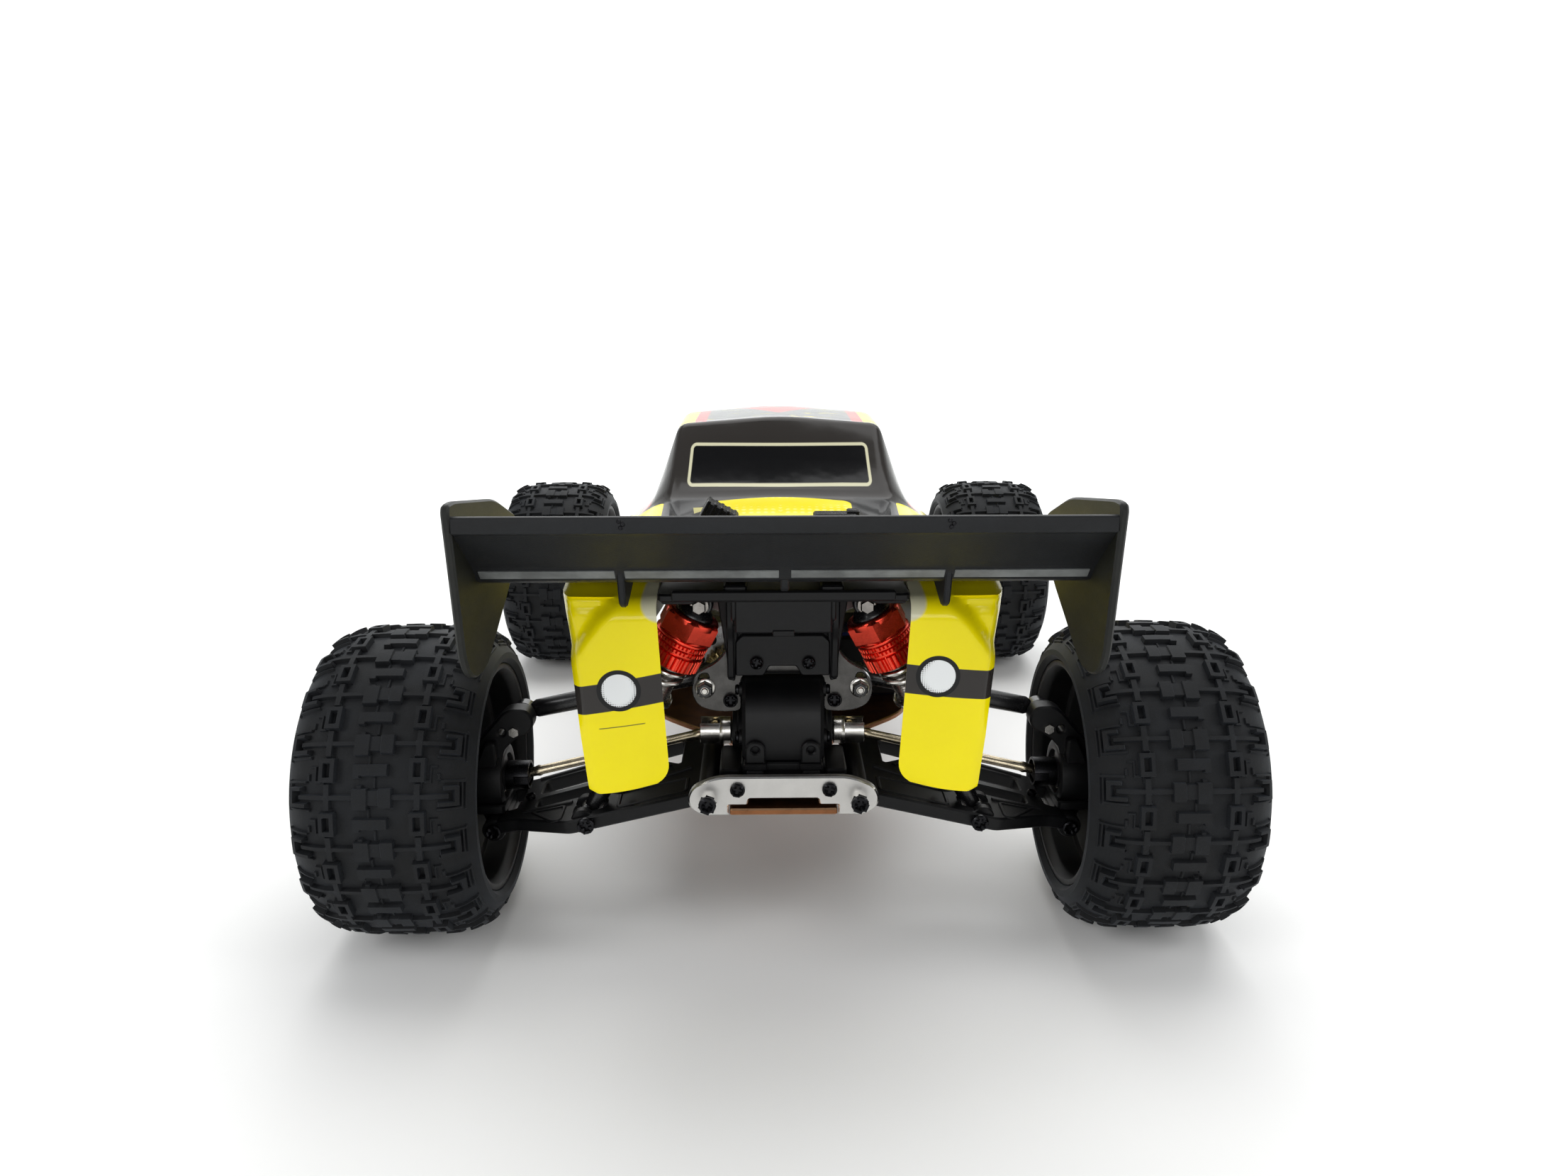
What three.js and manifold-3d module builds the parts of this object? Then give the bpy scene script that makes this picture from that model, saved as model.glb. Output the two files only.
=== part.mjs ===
// Four-wheel-drive model truggy: chassis, drive line, suspension, steering, shell and wing.
// Millimetres, +Z up, +Y forward, +X right; the origin is on the ground under the middle.
import * as THREE from 'three';
import { mergeVertices } from 'three/addons/utils/BufferGeometryUtils.js';
import Module from 'manifold-3d';

const wasm = await Module();
wasm.setup();

// ---------------------------------------------------------------- driving dimensions
const gap = 0.3;
const tyreRadius = 47;
const tyreInside = 86.5;
const tyreOutside = 136.5;
const beadRadius = 33;
const wheelSides = 24;
const wheelHeight = tyreRadius;
const rearAxleY = -118;
const frontAxleY = 132;

const plateBottom = 47;
const plateTop = 49;
const deckHeight = plateTop + gap;
const tongueHalfWidth = 15.6;

const armPin = { x: 22.2, z: 50.5 };
const armDroop = THREE.MathUtils.degToRad(13.75);
const armThickness = 5;
const armBoss = 3.6;
const armInnerEnd = -20;
const armOuterEnd = 25.5;
const forkInside = 6.6;
const forkOutside = 13;
const linkPin = { x: 23.5, z: 78.5 };
const linkPlane = -4;
const shockTop = { x: 23.5, z: 108 };
const shockFoot = { x: 57.5, z: 43 };
const shockPlane = 17.6;
const towerNear = 6.5;
const towerFar = 9.5;
const hingePlateNear = 26;
const hingePlateFar = 28.5;
const diffHeight = 61.6;
const outdriveBall = 20.7;
const ballRadius = 2.9;
const shaftHeight = 64;
const spurY = -66;
const gearWidth = 8;
const spurRadius = 13.3;
const pinionRadius = 6.5;
const motorX = -20.4;

const ends = {
  rear: { axleY: rearAxleY, away: -1, hubX: 88, linkEnd: { x: 80, z: 69.5 }, driveBall: 81.6 },
  front: { axleY: frontAxleY, away: 1, hubX: 78, linkEnd: { x: 79, z: 69.5 }, driveBall: 85.5 },
};
const sides = { left: -1, right: 1 };
const hubHeight = (x) => armPin.z - (x - armPin.x) * Math.tan(armDroop);

// ---------------------------------------------------------------- materials
const finish = (color, roughness, metalness = 0) => ({ color, roughness, metalness });
const finishes = {
  nylon: finish(0x17181a, 0.62),
  rubber: finish(0x1b1d20, 0.85),
  satinSteel: finish(0xb8b6b0, 0.32, 1),
  graphite: finish(0x3b3c3e, 0.45, 0.8),
  copper: finish(0xb06a3c, 0.4, 0.9),
  redAlloy: finish(0xc22a1c, 0.3, 0.85),
  yellowPaint: finish(0xe9d91a, 0.15),
  wingPlastic: finish(0x191b1d, 0.55),
  cellWrap: finish(0x2a3d6e, 0.4),
  motorCan: finish(0x8d8f92, 0.35, 0.9),
  caseBlack: finish(0x202124, 0.5),
};

// ---------------------------------------------------------------- solids
function toSolid(geometry) {
  const bare = geometry.clone();
  bare.deleteAttribute('normal');
  bare.deleteAttribute('uv');
  const merged = mergeVertices(bare, 1e-4);
  const corners = merged.index.array;
  const kept = [];
  for (let i = 0; i < corners.length; i += 3) {
    const [a, b, c] = [corners[i], corners[i + 1], corners[i + 2]];
    if (a !== b && b !== c && c !== a) kept.push(a, b, c);
  }
  const vertProperties = Float32Array.from(merged.attributes.position.array);
  if (signedVolume(vertProperties, kept) < 0) {
    for (let i = 0; i < kept.length; i += 3) [kept[i], kept[i + 1]] = [kept[i + 1], kept[i]];
  }
  const triVerts = Uint32Array.from(kept);
  return new wasm.Manifold(new wasm.Mesh({ numProp: 3, vertProperties, triVerts }));
}

function signedVolume(points, triangles) {
  const corner = (i) => new THREE.Vector3().fromArray(points, 3 * triangles[i]);
  let volume = 0;
  for (let i = 0; i < triangles.length; i += 3) {
    volume += corner(i).dot(corner(i + 1).cross(corner(i + 2)));
  }
  return volume / 6;
}

function toGeometry(solid) {
  const mesh = solid.getMesh();
  const geometry = new THREE.BufferGeometry();
  geometry.setAttribute('position', new THREE.Float32BufferAttribute(mesh.vertProperties, 3));
  geometry.setIndex(Array.from(mesh.triVerts));
  geometry.computeVertexNormals();
  return geometry;
}

const join = (...shapes) => toGeometry(shapes.map(toSolid).reduce((all, one) => all.add(one)));
const cut = (shape, ...tools) => toGeometry(
  tools.map(toSolid).reduce((all, one) => all.subtract(one), toSolid(shape)),
);

// ---------------------------------------------------------------- basic shapes
function block([x0, x1], [y0, y1], [z0, z1]) {
  return new THREE.BoxGeometry(x1 - x0, y1 - y0, z1 - z0)
    .translate((x0 + x1) / 2, (y0 + y1) / 2, (z0 + z1) / 2);
}

const outline = (points) => new THREE.Shape(points.map(([u, v]) => new THREE.Vector2(u, v)));

// an outline in the X-Y plane raised along Z, in X-Z carried along Y, in Y-Z carried along X
function slabZ(points, [z0, z1]) {
  return new THREE.ExtrudeGeometry(outline(points), { depth: z1 - z0, bevelEnabled: false })
    .translate(0, 0, z0);
}

function slabY(points, [y0, y1]) {
  return new THREE.ExtrudeGeometry(outline(points), { depth: y1 - y0, bevelEnabled: false })
    .rotateX(Math.PI / 2)
    .translate(0, y1, 0);
}

function slabX(points, [x0, x1]) {
  const turn = new THREE.Matrix4().makeBasis(
    new THREE.Vector3(0, 1, 0),
    new THREE.Vector3(0, 0, 1),
    new THREE.Vector3(1, 0, 0),
  );
  return new THREE.ExtrudeGeometry(outline(points), { depth: x1 - x0, bevelEnabled: false })
    .applyMatrix4(turn)
    .translate(x0, 0, 0);
}

// a round bar between two heights on an axis that passes through the point at
function bar(axis, radius, [from, to], at = [0, 0, 0], count = 14) {
  const shape = new THREE.CylinderGeometry(radius, radius, to - from, count).translate(0, (from + to) / 2, 0);
  if (axis === 'x') shape.rotateZ(-Math.PI / 2);
  if (axis === 'z') shape.rotateX(Math.PI / 2);
  return shape.translate(...at);
}

// a profile of [distance along the axis, radius] points turned about that axis
function turned(axis, profile, count = 20) {
  const points = profile.map(([along, radius]) => new THREE.Vector2(radius, along));
  const shape = new THREE.LatheGeometry(points, count, Math.PI / count);
  if (axis === 'x') shape.rotateZ(-Math.PI / 2);
  if (axis === 'z') shape.rotateX(Math.PI / 2);
  return shape;
}

const mirrorHalf = (half) => [...half, ...half.map(([u, v]) => [-u, v]).reverse()].filter(
  ([u, v], i, all) => i === 0 || u !== all[i - 1][0] || v !== all[i - 1][1],
);

// ---------------------------------------------------------------- the assembly
const model = new THREE.Group();

function addPart(name, geometry, look, position = [0, 0, 0], turn = 0, home = model) {
  const part = new THREE.Mesh(geometry, new THREE.MeshStandardMaterial(finishes[look]));
  part.name = name;
  part.position.set(...position);
  part.rotation.y = turn;
  home.add(part);
  return part;
}

// a corner piece is drawn for the right rear as x outwards and y away from the middle
function placeCorner(geometry, side, away) {
  const flipped = geometry.clone().applyMatrix4(new THREE.Matrix4().makeScale(side, away, 1));
  return toGeometry(toSolid(flipped));
}

// ---------------------------------------------------------------- suspension pieces
function lowerArm(length) {
  const plan = [
    [0, armInnerEnd], [6, armInnerEnd], [30, -17], [length - 10, -forkOutside], [length, -forkOutside],
    [length, -forkInside], [length - 7.5, -forkInside], [length - 7.5, forkInside], [length, forkInside],
    [length, forkOutside], [length - 8, 14.5], [46, armOuterEnd], [0, armOuterEnd],
  ];
  const half = armThickness / 2;
  const shockWindow = block([30.3, 40.4], [14.8, 20.4], [-9, 9]);
  const frontWindow = slabZ([[8, -15], [25, -13.5], [8, 3]], [-9, 9]);
  const middleWindow = slabZ([[29, -11.5], [length - 13, -9], [length - 13, 9.5], [12, 9.5]], [-9, 9]);
  const whole = join(
    slabZ(plan, [-half, half]),
    bar('y', armBoss, [armInnerEnd, armOuterEnd]),
    bar('y', armBoss, [-forkOutside, -forkInside], [length, 0, 0]),
    bar('y', armBoss, [forkInside, forkOutside], [length, 0, 0]),
  );
  return cut(whole, shockWindow, frontWindow, middleWindow);
}

// the rear upright, drawn from its lower pin
function rearHub() {
  const axle = wheelHeight - hubHeight(ends.rear.hubX);
  const horn = [
    [-2, axle], [8, axle], [7, axle + 11.4], [1, axle + 18.4], [-4, axle + 26.4],
    [-12, axle + 26.4], [-12, axle + 19], [-6, axle + 14.4], [-2, axle + 9.4],
  ];
  const whole = join(
    bar('y', armBoss, [-6.2, 6.2]),
    block([-3.4, 3.6], [-6.2, 6.2], [0, 6]),
    bar('x', 10, [-2, 8], [0, 0, axle], 18),
    slabY(horn, [-0.8, 5.5]),
  );
  return cut(whole, bar('x', 3.3, [-9, 20], [0, 0, axle]));
}

// the front upright that holds the kingpins, drawn from its lower pin
const kingpinX = 85.5;
function frontCarrier() {
  const axle = wheelHeight - hubHeight(ends.front.hubX);
  const upper = axle + 11.15;
  const lower = axle - 11.95;
  const reach = kingpinX - ends.front.hubX + 3.5;
  const whole = join(
    bar('y', 3.2, [-6.2, 6.2]),
    block([-4.5, -0.8], [-6.2, 6.2], [lower - 3.4, 6]),
    block([-4.5, -0.8], [-9.5, 9.5], [4.8, upper + 3.7]),
    block([-4.5, reach], [-6.2, 6.2], [upper, upper + 3.7]),
    block([-4.5, reach], [-6, 6], [lower - 3.4, lower]),
    slabY([[-4.5, upper + 3], [reach, upper + 3], [5, upper + 14.7], [-3, upper + 14.7]], [-0.8, 5.5]),
  );
  return cut(whole, bar('x', 5.6, [-9, 0.5], [0, 0, axle + 1.6]));
}

// the steered knuckle, drawn from the middle of its kingpins
function knuckle() {
  const barrelProfile = [[-3.5, 6], [-3.5, 8.5], [8.5, 8.5], [8.5, 3.3], [4.8, 3.3], [4.8, 6], [-3.5, 6]];
  const steeringArm = [[-1, -5], [6, -5], [5, -14], [0.5, -29], [-6.5, -29], [-6.5, -23], [-1, -14]];
  const whole = join(
    turned('x', barrelProfile, 18),
    bar('z', 3.3, [7.6, 10.9]),
    bar('z', 3.3, [-11.6, -7.6]),
    slabZ(steeringArm, [-4.5, -1.5]),
  );
  return cut(whole, bar('x', 5.9, [-9, 4.8]));
}

// a rod with round ends from one point to the other in the X-Z plane, drawn from the first
function ballLink(dx, dz, radius, endRadius, endWidth) {
  const length = Math.hypot(dx, dz);
  const rod = bar('x', radius, [0, length], [0, 0, 0], 10).rotateY(-Math.atan2(dz, dx));
  return join(
    rod,
    bar('y', endRadius, [-endWidth / 2, endWidth / 2], [0, 0, 0], 12),
    bar('y', endRadius, [-endWidth / 2, endWidth / 2], [dx, 0, dz], 12),
  );
}

function driveShaft(dx, dz) {
  const length = Math.hypot(dx, dz);
  const ball = new THREE.SphereGeometry(ballRadius, 8, 6);
  const rod = bar('x', 1.4, [0, length], [0, 0, 0], 8).rotateY(-Math.atan2(dz, dx));
  return join(rod, ball, ball.clone().translate(dx, 0, dz));
}

function outdrive() {
  return turned('x', [[1.7, 0], [1.7, 3.4], [9.3, 3.4], [9.3, 4.25], [0, 4.25], [0, 0]], 16);
}

// rim, drive cup and stub axle in one, along X from the middle of the cup's ball
function wheelRim(ballX) {
  const at = (x) => x - ballX;
  return turned('x', [
    [3.5, 0], [3.5, 3.8], [-3.7, 3.8], [-3.7, 5], [4.1, 5], [4.1, 2.5], [at(98), 2.5], [at(98), 9],
    [at(117), 9], [at(117), 30.2], [at(88.6), 30.8], [at(88.6), beadRadius], [at(135.2), beadRadius],
    [at(135.2), 31.2], [at(121), 30.2], [at(121), 9], [at(124), 9], [at(124), 0],
  ], wheelSides);
}

// flats, not corners, touch the ground
function tyre(ballX) {
  const grow = 1 / Math.cos(Math.PI / wheelSides);
  const at = (x) => x - ballX;
  const inner = beadRadius * grow + gap;
  const side = tyreInside;
  const far = tyreOutside;
  return turned('x', [
    [at(side + 2), inner], [at(side), 37], [at(side), 41.5], [at(side + 3.5), 45.5 * grow],
    [at(side + 9), tyreRadius * grow], [at(far - 9), tyreRadius * grow], [at(far - 3.5), 45.5 * grow],
    [at(far), 41.5], [at(far), 37], [at(far - 1.5), inner], [at(side + 2), inner],
  ], wheelSides);
}

// the damper runs down its own axis from the top eye; the profile is [distance down, radius]
const shockLength = Math.hypot(shockFoot.x - shockTop.x, shockTop.z - shockFoot.z);
const shockLean = Math.atan2(shockFoot.x - shockTop.x, shockTop.z - shockFoot.z);
const collarFoot = 20;
const damperFoot = 46;
const seatTop = 60;
const down = (profile) => profile.map(([along, radius]) => [-along, radius]);

function shockBody() {
  const can = turned('z', down([
    [3, 0], [3, 3.4], [5.5, 3.6], [5.5, 7], [12, 7], [12, 7.7], [collarFoot, 7.7], [collarFoot, 4.5],
    [damperFoot, 4.5], [damperFoot, 2], [26, 2], [26, 0],
  ]), 12);
  return join(can, bar('y', 4, [-2.3, 2.3], [0, 0, 0], 12));
}

function shockRod() {
  const stem = turned('z', down([
    [38, 0], [38, 1.5], [seatTop, 1.5], [seatTop, 6.6], [seatTop + 2, 6.6], [seatTop + 2, 2.7],
    [shockLength, 2.7], [shockLength, 0],
  ]), 12);
  return join(stem, bar('y', 3.2, [-2.3, 2.3], [0, 0, -shockLength], 12));
}

function shockSpring() {
  return turned('z', down([
    [collarFoot + gap, 5], [collarFoot + gap, 6.3], [seatTop - gap, 6.3], [seatTop - gap, 5],
    [collarFoot + gap, 5],
  ]), 14);
}

const tieRodPlane = -26;
const tieRodInner = { x: 21, z: 60 };
const tieRodOuter = { x: 82, z: 50.8 };

for (const [endName, end] of Object.entries(ends)) {
  for (const [sideName, side] of Object.entries(sides)) {
    const { axleY, away, hubX, linkEnd, driveBall } = end;
    const name = (part) => `${endName}_${sideName}_${part}`;
    const at = (x, y, z) => [side * x, axleY + away * y, z];
    const add = (part, geometry, look, position, turn) => {
      addPart(name(part), placeCorner(geometry, side, away), look, position, turn);
    };
    const armLength = (hubX - armPin.x) / Math.cos(armDroop);
    add('arm', lowerArm(armLength), 'nylon', at(armPin.x, 0, armPin.z), side * armDroop);
    if (endName === 'rear') {
      add('hub_carrier', rearHub(), 'nylon', at(hubX, 0, hubHeight(hubX)));
    } else {
      add('hub_carrier', frontCarrier(), 'nylon', at(hubX, 0, hubHeight(hubX)));
      add('knuckle', knuckle(), 'nylon', at(kingpinX, 0, wheelHeight));
      const tieRod = ballLink(tieRodOuter.x - tieRodInner.x, tieRodOuter.z - tieRodInner.z, 1.8, 2.6, 4.4);
      add('tie_rod', tieRod, 'nylon', at(tieRodInner.x, tieRodPlane, tieRodInner.z));
    }
    const camberLink = ballLink(linkEnd.x - linkPin.x, linkEnd.z - linkPin.z, 2.4, 3.2, 5.4);
    add('camber_link', camberLink, 'nylon', at(linkPin.x, linkPlane, linkPin.z));
    const halfShaft = driveShaft(driveBall - outdriveBall, wheelHeight - diffHeight);
    add('drive_shaft', halfShaft, 'satinSteel', at(outdriveBall, 0, diffHeight));
    if (endName === 'rear') add('outdrive', outdrive(), 'satinSteel', at(15.7, 0, diffHeight));
    add('rim', wheelRim(driveBall), 'nylon', at(driveBall, 0, wheelHeight));
    add('tyre', tyre(driveBall), 'rubber', at(driveBall, 0, wheelHeight));
    const shockAt = at(shockTop.x, shockPlane, shockTop.z);
    add('shock_body', shockBody(), 'redAlloy', shockAt, -side * shockLean);
    add('shock_rod', shockRod(), 'satinSteel', shockAt, -side * shockLean);
    add('shock_spring', shockSpring(), 'satinSteel', shockAt, -side * shockLean);
  }
}

// ---------------------------------------------------------------- gearboxes, towers, hinge plates
function gearbox() {
  const profile = [
    [-19, deckHeight], [19, deckHeight], [20, 56], [20, 72], [16, 80], [8, 86], [-6, 86], [-14, 81], [-19, 72],
  ];
  const pinBlock = mirrorHalf([[0, -22.7], [26, -22.7], [26, -20.3], [17, -20.3], [17, -18], [0, -18]]);
  return join(
    slabX(profile, [-12, 12]),
    bar('x', 7, [-15.4, 15.4], [0, 0, diffHeight], 16),
    slabZ(pinBlock, [deckHeight, 56]),
    block([-10.5, 10.5], [18, hingePlateNear - gap], [deckHeight + 1, 60]),
    block([-18, 18], [1, towerNear - gap], [72, 80]),
  );
}

function tower() {
  const half = [
    [0, 86.4], [12.4, 86.4], [12.4, 71.4], [20, 71.4], [25.6, 73.6], [27.6, 79], [25.2, 84.2], [19, 87.5],
    [15.8, 92], [15.8, 99], [18.2, 102.6], [22, 104], [26.6, 104.4], [28.4, 108], [26.8, 111.4], [23.5, 112],
    [14, 110.5], [0, 110.5],
  ];
  return join(
    slabY(mirrorHalf(half), [towerNear, towerFar]),
    bar('y', 2.8, [towerFar - 0.5, shockPlane - 2.3 - gap], [-shockTop.x, 0, shockTop.z], 12),
    bar('y', 2.8, [towerFar - 0.5, shockPlane - 2.3 - gap], [shockTop.x, 0, shockTop.z], 12),
  );
}

function hingePlate() {
  const half = [
    [0, plateTop + gap], [15.9, plateTop + gap], [15.9, 47], [24, 47], [27.2, 49.4], [27.7, 52.5],
    [26.4, 55.8], [20, 59], [0, 59],
  ];
  return slabY(mirrorHalf(half), [hingePlateNear, hingePlateFar]);
}

function frontBumper() {
  const wedge = [[28.3, 47], [28.3, 58], [42, 61], [53, 61], [55.5, 58], [55.5, 54], [44, 47]];
  return join(hingePlate(), slabX(wedge, [-31, 31]));
}

function placeEnd(name, geometry, look, end) {
  addPart(name, placeCorner(geometry, 1, end.away), look, [0, end.axleY, 0]);
}

placeEnd('rear_gearbox', gearbox(), 'nylon', ends.rear);
placeEnd('front_gearbox', gearbox(), 'nylon', ends.front);
placeEnd('rear_shock_tower', tower(), 'graphite', ends.rear);
placeEnd('front_shock_tower', tower(), 'graphite', ends.front);
placeEnd('rear_hinge_plate', hingePlate(), 'satinSteel', ends.rear);
placeEnd('front_bumper', frontBumper(), 'nylon', ends.front);

// ---------------------------------------------------------------- chassis plate
const tongueBack = rearAxleY - hingePlateFar;
const tongueFront = frontAxleY + hingePlateNear - gap;
const plateHalf = [
  [0, tongueBack], [tongueHalfWidth, tongueBack], [tongueHalfWidth, rearAxleY + 22], [30, rearAxleY + 33],
  [46, rearAxleY + 48], [46, 62], [30, 88], [tongueHalfWidth, frontAxleY - 34], [tongueHalfWidth, tongueFront],
  [0, tongueFront],
];
addPart('chassis_plate', slabZ(mirrorHalf(plateHalf), [plateBottom, plateTop]), 'copper');

// ---------------------------------------------------------------- drive line
const shaftStart = rearAxleY + 19 + gap;
const shaftEnd = frontAxleY - 19 - gap;
const centreShaft = join(
  bar('y', 2.5, [shaftStart, shaftEnd], [0, 0, 0], 12),
  bar('y', spurRadius, [spurY - gearWidth / 2, spurY + gearWidth / 2], [0, 0, 0], 34),
);
addPart('centre_shaft', centreShaft, 'caseBlack', [0, 0, shaftHeight]);
const pinion = join(
  bar('y', pinionRadius, [spurY - gearWidth / 2, spurY + gearWidth / 2], [0, 0, 0], 17),
  bar('y', 1.6, [spurY, spurY + 6.2], [0, 0, 0], 8),
);
addPart('motor_pinion', pinion, 'satinSteel', [motorX, 0, shaftHeight]);
const motorBack = spurY + 6.5;
const motorCan = bar('y', 14, [motorBack, motorBack + 42], [0, 0, 0], 20);
addPart('motor', motorCan, 'motorCan', [motorX, 0, shaftHeight]);

// ---------------------------------------------------------------- electrics and steering
addPart('battery', block([11, 45], [-60, 36], [deckHeight, deckHeight + 24]), 'cellWrap');
addPart('speed_controller', block([-45, -11], [-8, 34], [deckHeight, deckHeight + 22]), 'caseBlack');
addPart('servo', block([-40, -20], [42, 78], [deckHeight, deckHeight + 28]), 'caseBlack');

const crankPivot = { x: -8, y: frontAxleY + tieRodPlane - 20 };
const crank = join(
  bar('z', 5, [deckHeight, 60], [0, 0, 0], 14),
  slabZ([[-4, 0], [4, 0], [3, 22], [-3, 22]], [51.6, 54.2]),
);
addPart('servo_saver', crank, 'nylon', [crankPivot.x, crankPivot.y, 0]);
const rackY = frontAxleY + tieRodPlane;
addPart('steering_link', block([-24, 24], [rackY - 3, rackY + 3], [deckHeight, 51]), 'satinSteel');

// ---------------------------------------------------------------- wing mount and wing
const wingMount = join(
  block([-16, 16], [9.8, 13], [86.7, 112.8]),
  block([-14, 14], [12.5, 30], [100, 112.8]),
  block([-33, 33], [8, 34], [112.6, 115]),
  block([-16, -10], [14, 34], [114.8, 117.6]),
  block([10, 16], [14, 34], [114.8, 117.6]),
);
placeEnd('wing_mount', wingMount, 'nylon', ends.rear);

// y here is the distance behind the rear axle
const bladeProfile = [
  [12, 118.2], [30, 119.2], [49, 124.2], [67, 138.6], [69, 139.2], [69, 143.6], [67.4, 143.6],
  [59, 134.4], [50, 127.6], [40, 123.6], [30, 121.6], [12, 120.4],
];
const endPlateProfile = [
  [5, 122], [5, 131], [27, 139.6], [66, 146], [69, 145.6], [69.5, 143.6], [67.4, 128], [65.5, 108],
  [62, 102.4], [55, 99.6], [48, 99.6], [41.5, 101.5], [32.5, 106.6], [16, 113.6],
];
const finProfile = [[52, 126.4], [49.5, 116.6], [47, 115.2], [29, 115.2], [26, 120]];
const middleFinProfile = [[50, 125.2], [48, 121.2], [34, 119.2], [30, 120]];
const pairOf = (profile, near, far) => [slabX(profile, [near, far]), slabX(profile, [-far, -near])];
const wing = join(
  slabX(bladeProfile, [-77, 77]),
  slabX(middleFinProfile, [-0.8, 0.8]),
  ...pairOf(endPlateProfile, 76.6, 78.8),
  ...pairOf(finProfile, 40, 41.8),
);
placeEnd('wing', wing, 'wingPlastic', ends.rear);

// ---------------------------------------------------------------- painted shell
// each station is [distance ahead of the rear axle, six points from the lower edge to the middle of the top]
const shellWall = 1.3;
const stations = [
  [8, [[62, 97], [62, 106], [57, 115.6], [44, 118.6], [30, 119], [0, 119]]],
  [26, [[62, 94], [64, 104], [59, 114], [45, 119.4], [34, 120.6], [0, 121]]],
  [27, [[59, 56], [65, 80], [60, 113], [45, 119.5], [34, 120.8], [0, 121.4]]],
  [50, [[58, 54], [66, 78], [61, 110], [45, 121], [36, 127], [0, 128]]],
  [70, [[57, 53], [66, 76], [61, 108], [44, 122], [37, 145.6], [0, 148.5]]],
  [108, [[56, 52], [66, 74], [61, 105], [44, 120], [37, 147.5], [0, 150.5]]],
  [142, [[55, 52], [64, 72], [58, 101], [43, 116], [35, 143.5], [0, 147]]],
  [176, [[52, 52], [58, 69], [52, 96], [40, 107], [30, 114], [0, 116]]],
  [210, [[44, 52], [49, 66], [44, 90], [35, 98], [26, 103], [0, 105]]],
  [222, [[36, 70], [40, 76], [38, 90], [32, 96], [24, 100], [0, 102]]],
  [252, [[28, 88.5], [30, 90], [29, 92], [25, 94.5], [18, 96], [0, 96.5]]],
];

// the wall's inner face: each point moved in along the bisector of its two edges
function inwards(points, distance) {
  return points.map(([x, z], i) => {
    const before = points[Math.max(i - 1, 0)];
    const after = points[Math.min(i + 1, points.length - 1)];
    const along = new THREE.Vector2(after[0] - before[0], after[1] - before[1]).normalize();
    const inner = [x - along.y * distance, z + along.x * distance];
    if (i === points.length - 1) return [0, z - distance];
    if (i === 0) inner[1] = z;
    return inner;
  });
}

function shellLoft() {
  const rings = stations.map(([y, half]) => {
    const whole = (points) => [...points, ...points.slice(0, -1).reverse().map(([x, z]) => [-x, z])];
    const outer = whole(half);
    const inner = whole(inwards(half, shellWall)).reverse();
    return [...outer, ...inner].map(([x, z]) => [x, y, z]);
  });
  const count = rings[0].length;
  const triangles = [];
  const quad = (a, b, c, d) => triangles.push(a, b, c, a, c, d);
  for (let ring = 0; ring + 1 < rings.length; ring += 1) {
    for (let i = 0; i < count; i += 1) {
      const next = (i + 1) % count;
      const base = ring * count;
      quad(base + i, base + next, base + count + next, base + count + i);
    }
  }
  const last = (rings.length - 1) * count;
  for (let i = 0; i + 1 < count / 2; i += 1) {
    const facing = count - 1 - i;
    quad(i, facing, facing - 1, i + 1);
    quad(last + i, last + i + 1, last + facing - 1, last + facing);
  }
  const geometry = new THREE.BufferGeometry();
  geometry.setAttribute('position', new THREE.Float32BufferAttribute(rings.flat(2), 3));
  geometry.setIndex(triangles);
  return geometry;
}

// the tail flap: down the back, round the top corner and forward over the shock
function tailFlap(from, to) {
  const top = 114;
  const back = -37;
  const corner = 7;
  const run = (offset) => {
    const radius = corner - offset;
    const arc = [0, 1, 2, 3].map((step) => {
      const angle = Math.PI - (step * Math.PI) / 6;
      return [back + corner + radius * Math.cos(angle), top - corner + radius * Math.sin(angle)];
    });
    return [[back + 1 + offset, 57], ...arc, [-8, top + 0.4 - offset], [12, top + 3.8 - offset]];
  };
  return slabX([...run(0), ...run(1.4).reverse()], [from, to]);
}

const shell = join(shellLoft(), tailFlap(33, 60), tailFlap(-60, -33));
addPart('body_shell', shell, 'yellowPaint', [0, rearAxleY, 0]);

export default model;
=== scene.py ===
import math

import bpy
import numpy as np
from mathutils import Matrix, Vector
from mathutils.geometry import tessellate_polygon


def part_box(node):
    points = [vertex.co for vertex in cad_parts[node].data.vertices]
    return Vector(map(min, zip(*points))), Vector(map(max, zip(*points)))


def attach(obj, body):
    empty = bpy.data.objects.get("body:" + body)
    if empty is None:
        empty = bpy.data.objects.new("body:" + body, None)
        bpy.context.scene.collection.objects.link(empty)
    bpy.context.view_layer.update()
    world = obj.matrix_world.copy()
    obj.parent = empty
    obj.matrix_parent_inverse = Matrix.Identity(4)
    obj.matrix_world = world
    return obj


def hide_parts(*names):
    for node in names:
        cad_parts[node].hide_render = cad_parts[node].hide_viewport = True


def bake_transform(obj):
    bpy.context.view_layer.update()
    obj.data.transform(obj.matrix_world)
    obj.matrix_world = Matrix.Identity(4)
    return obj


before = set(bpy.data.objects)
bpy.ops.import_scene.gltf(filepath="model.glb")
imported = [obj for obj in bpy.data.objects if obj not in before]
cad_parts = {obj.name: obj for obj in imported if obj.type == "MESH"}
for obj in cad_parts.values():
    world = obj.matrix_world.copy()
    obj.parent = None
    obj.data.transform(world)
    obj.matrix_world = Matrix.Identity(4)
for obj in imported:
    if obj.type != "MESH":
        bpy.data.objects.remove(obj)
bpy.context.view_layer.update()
print("frame loaded:", len(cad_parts), "nodes")

mm = 0.001
turn = 2 * math.pi


# where things are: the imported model's own boxes, in millimetres
def boxOf(node):
    low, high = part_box(node)
    return np.array(low) / mm, np.array(high) / mm


def middleOf(node):
    low, high = boxOf(node)
    return (low + high) / 2


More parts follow.
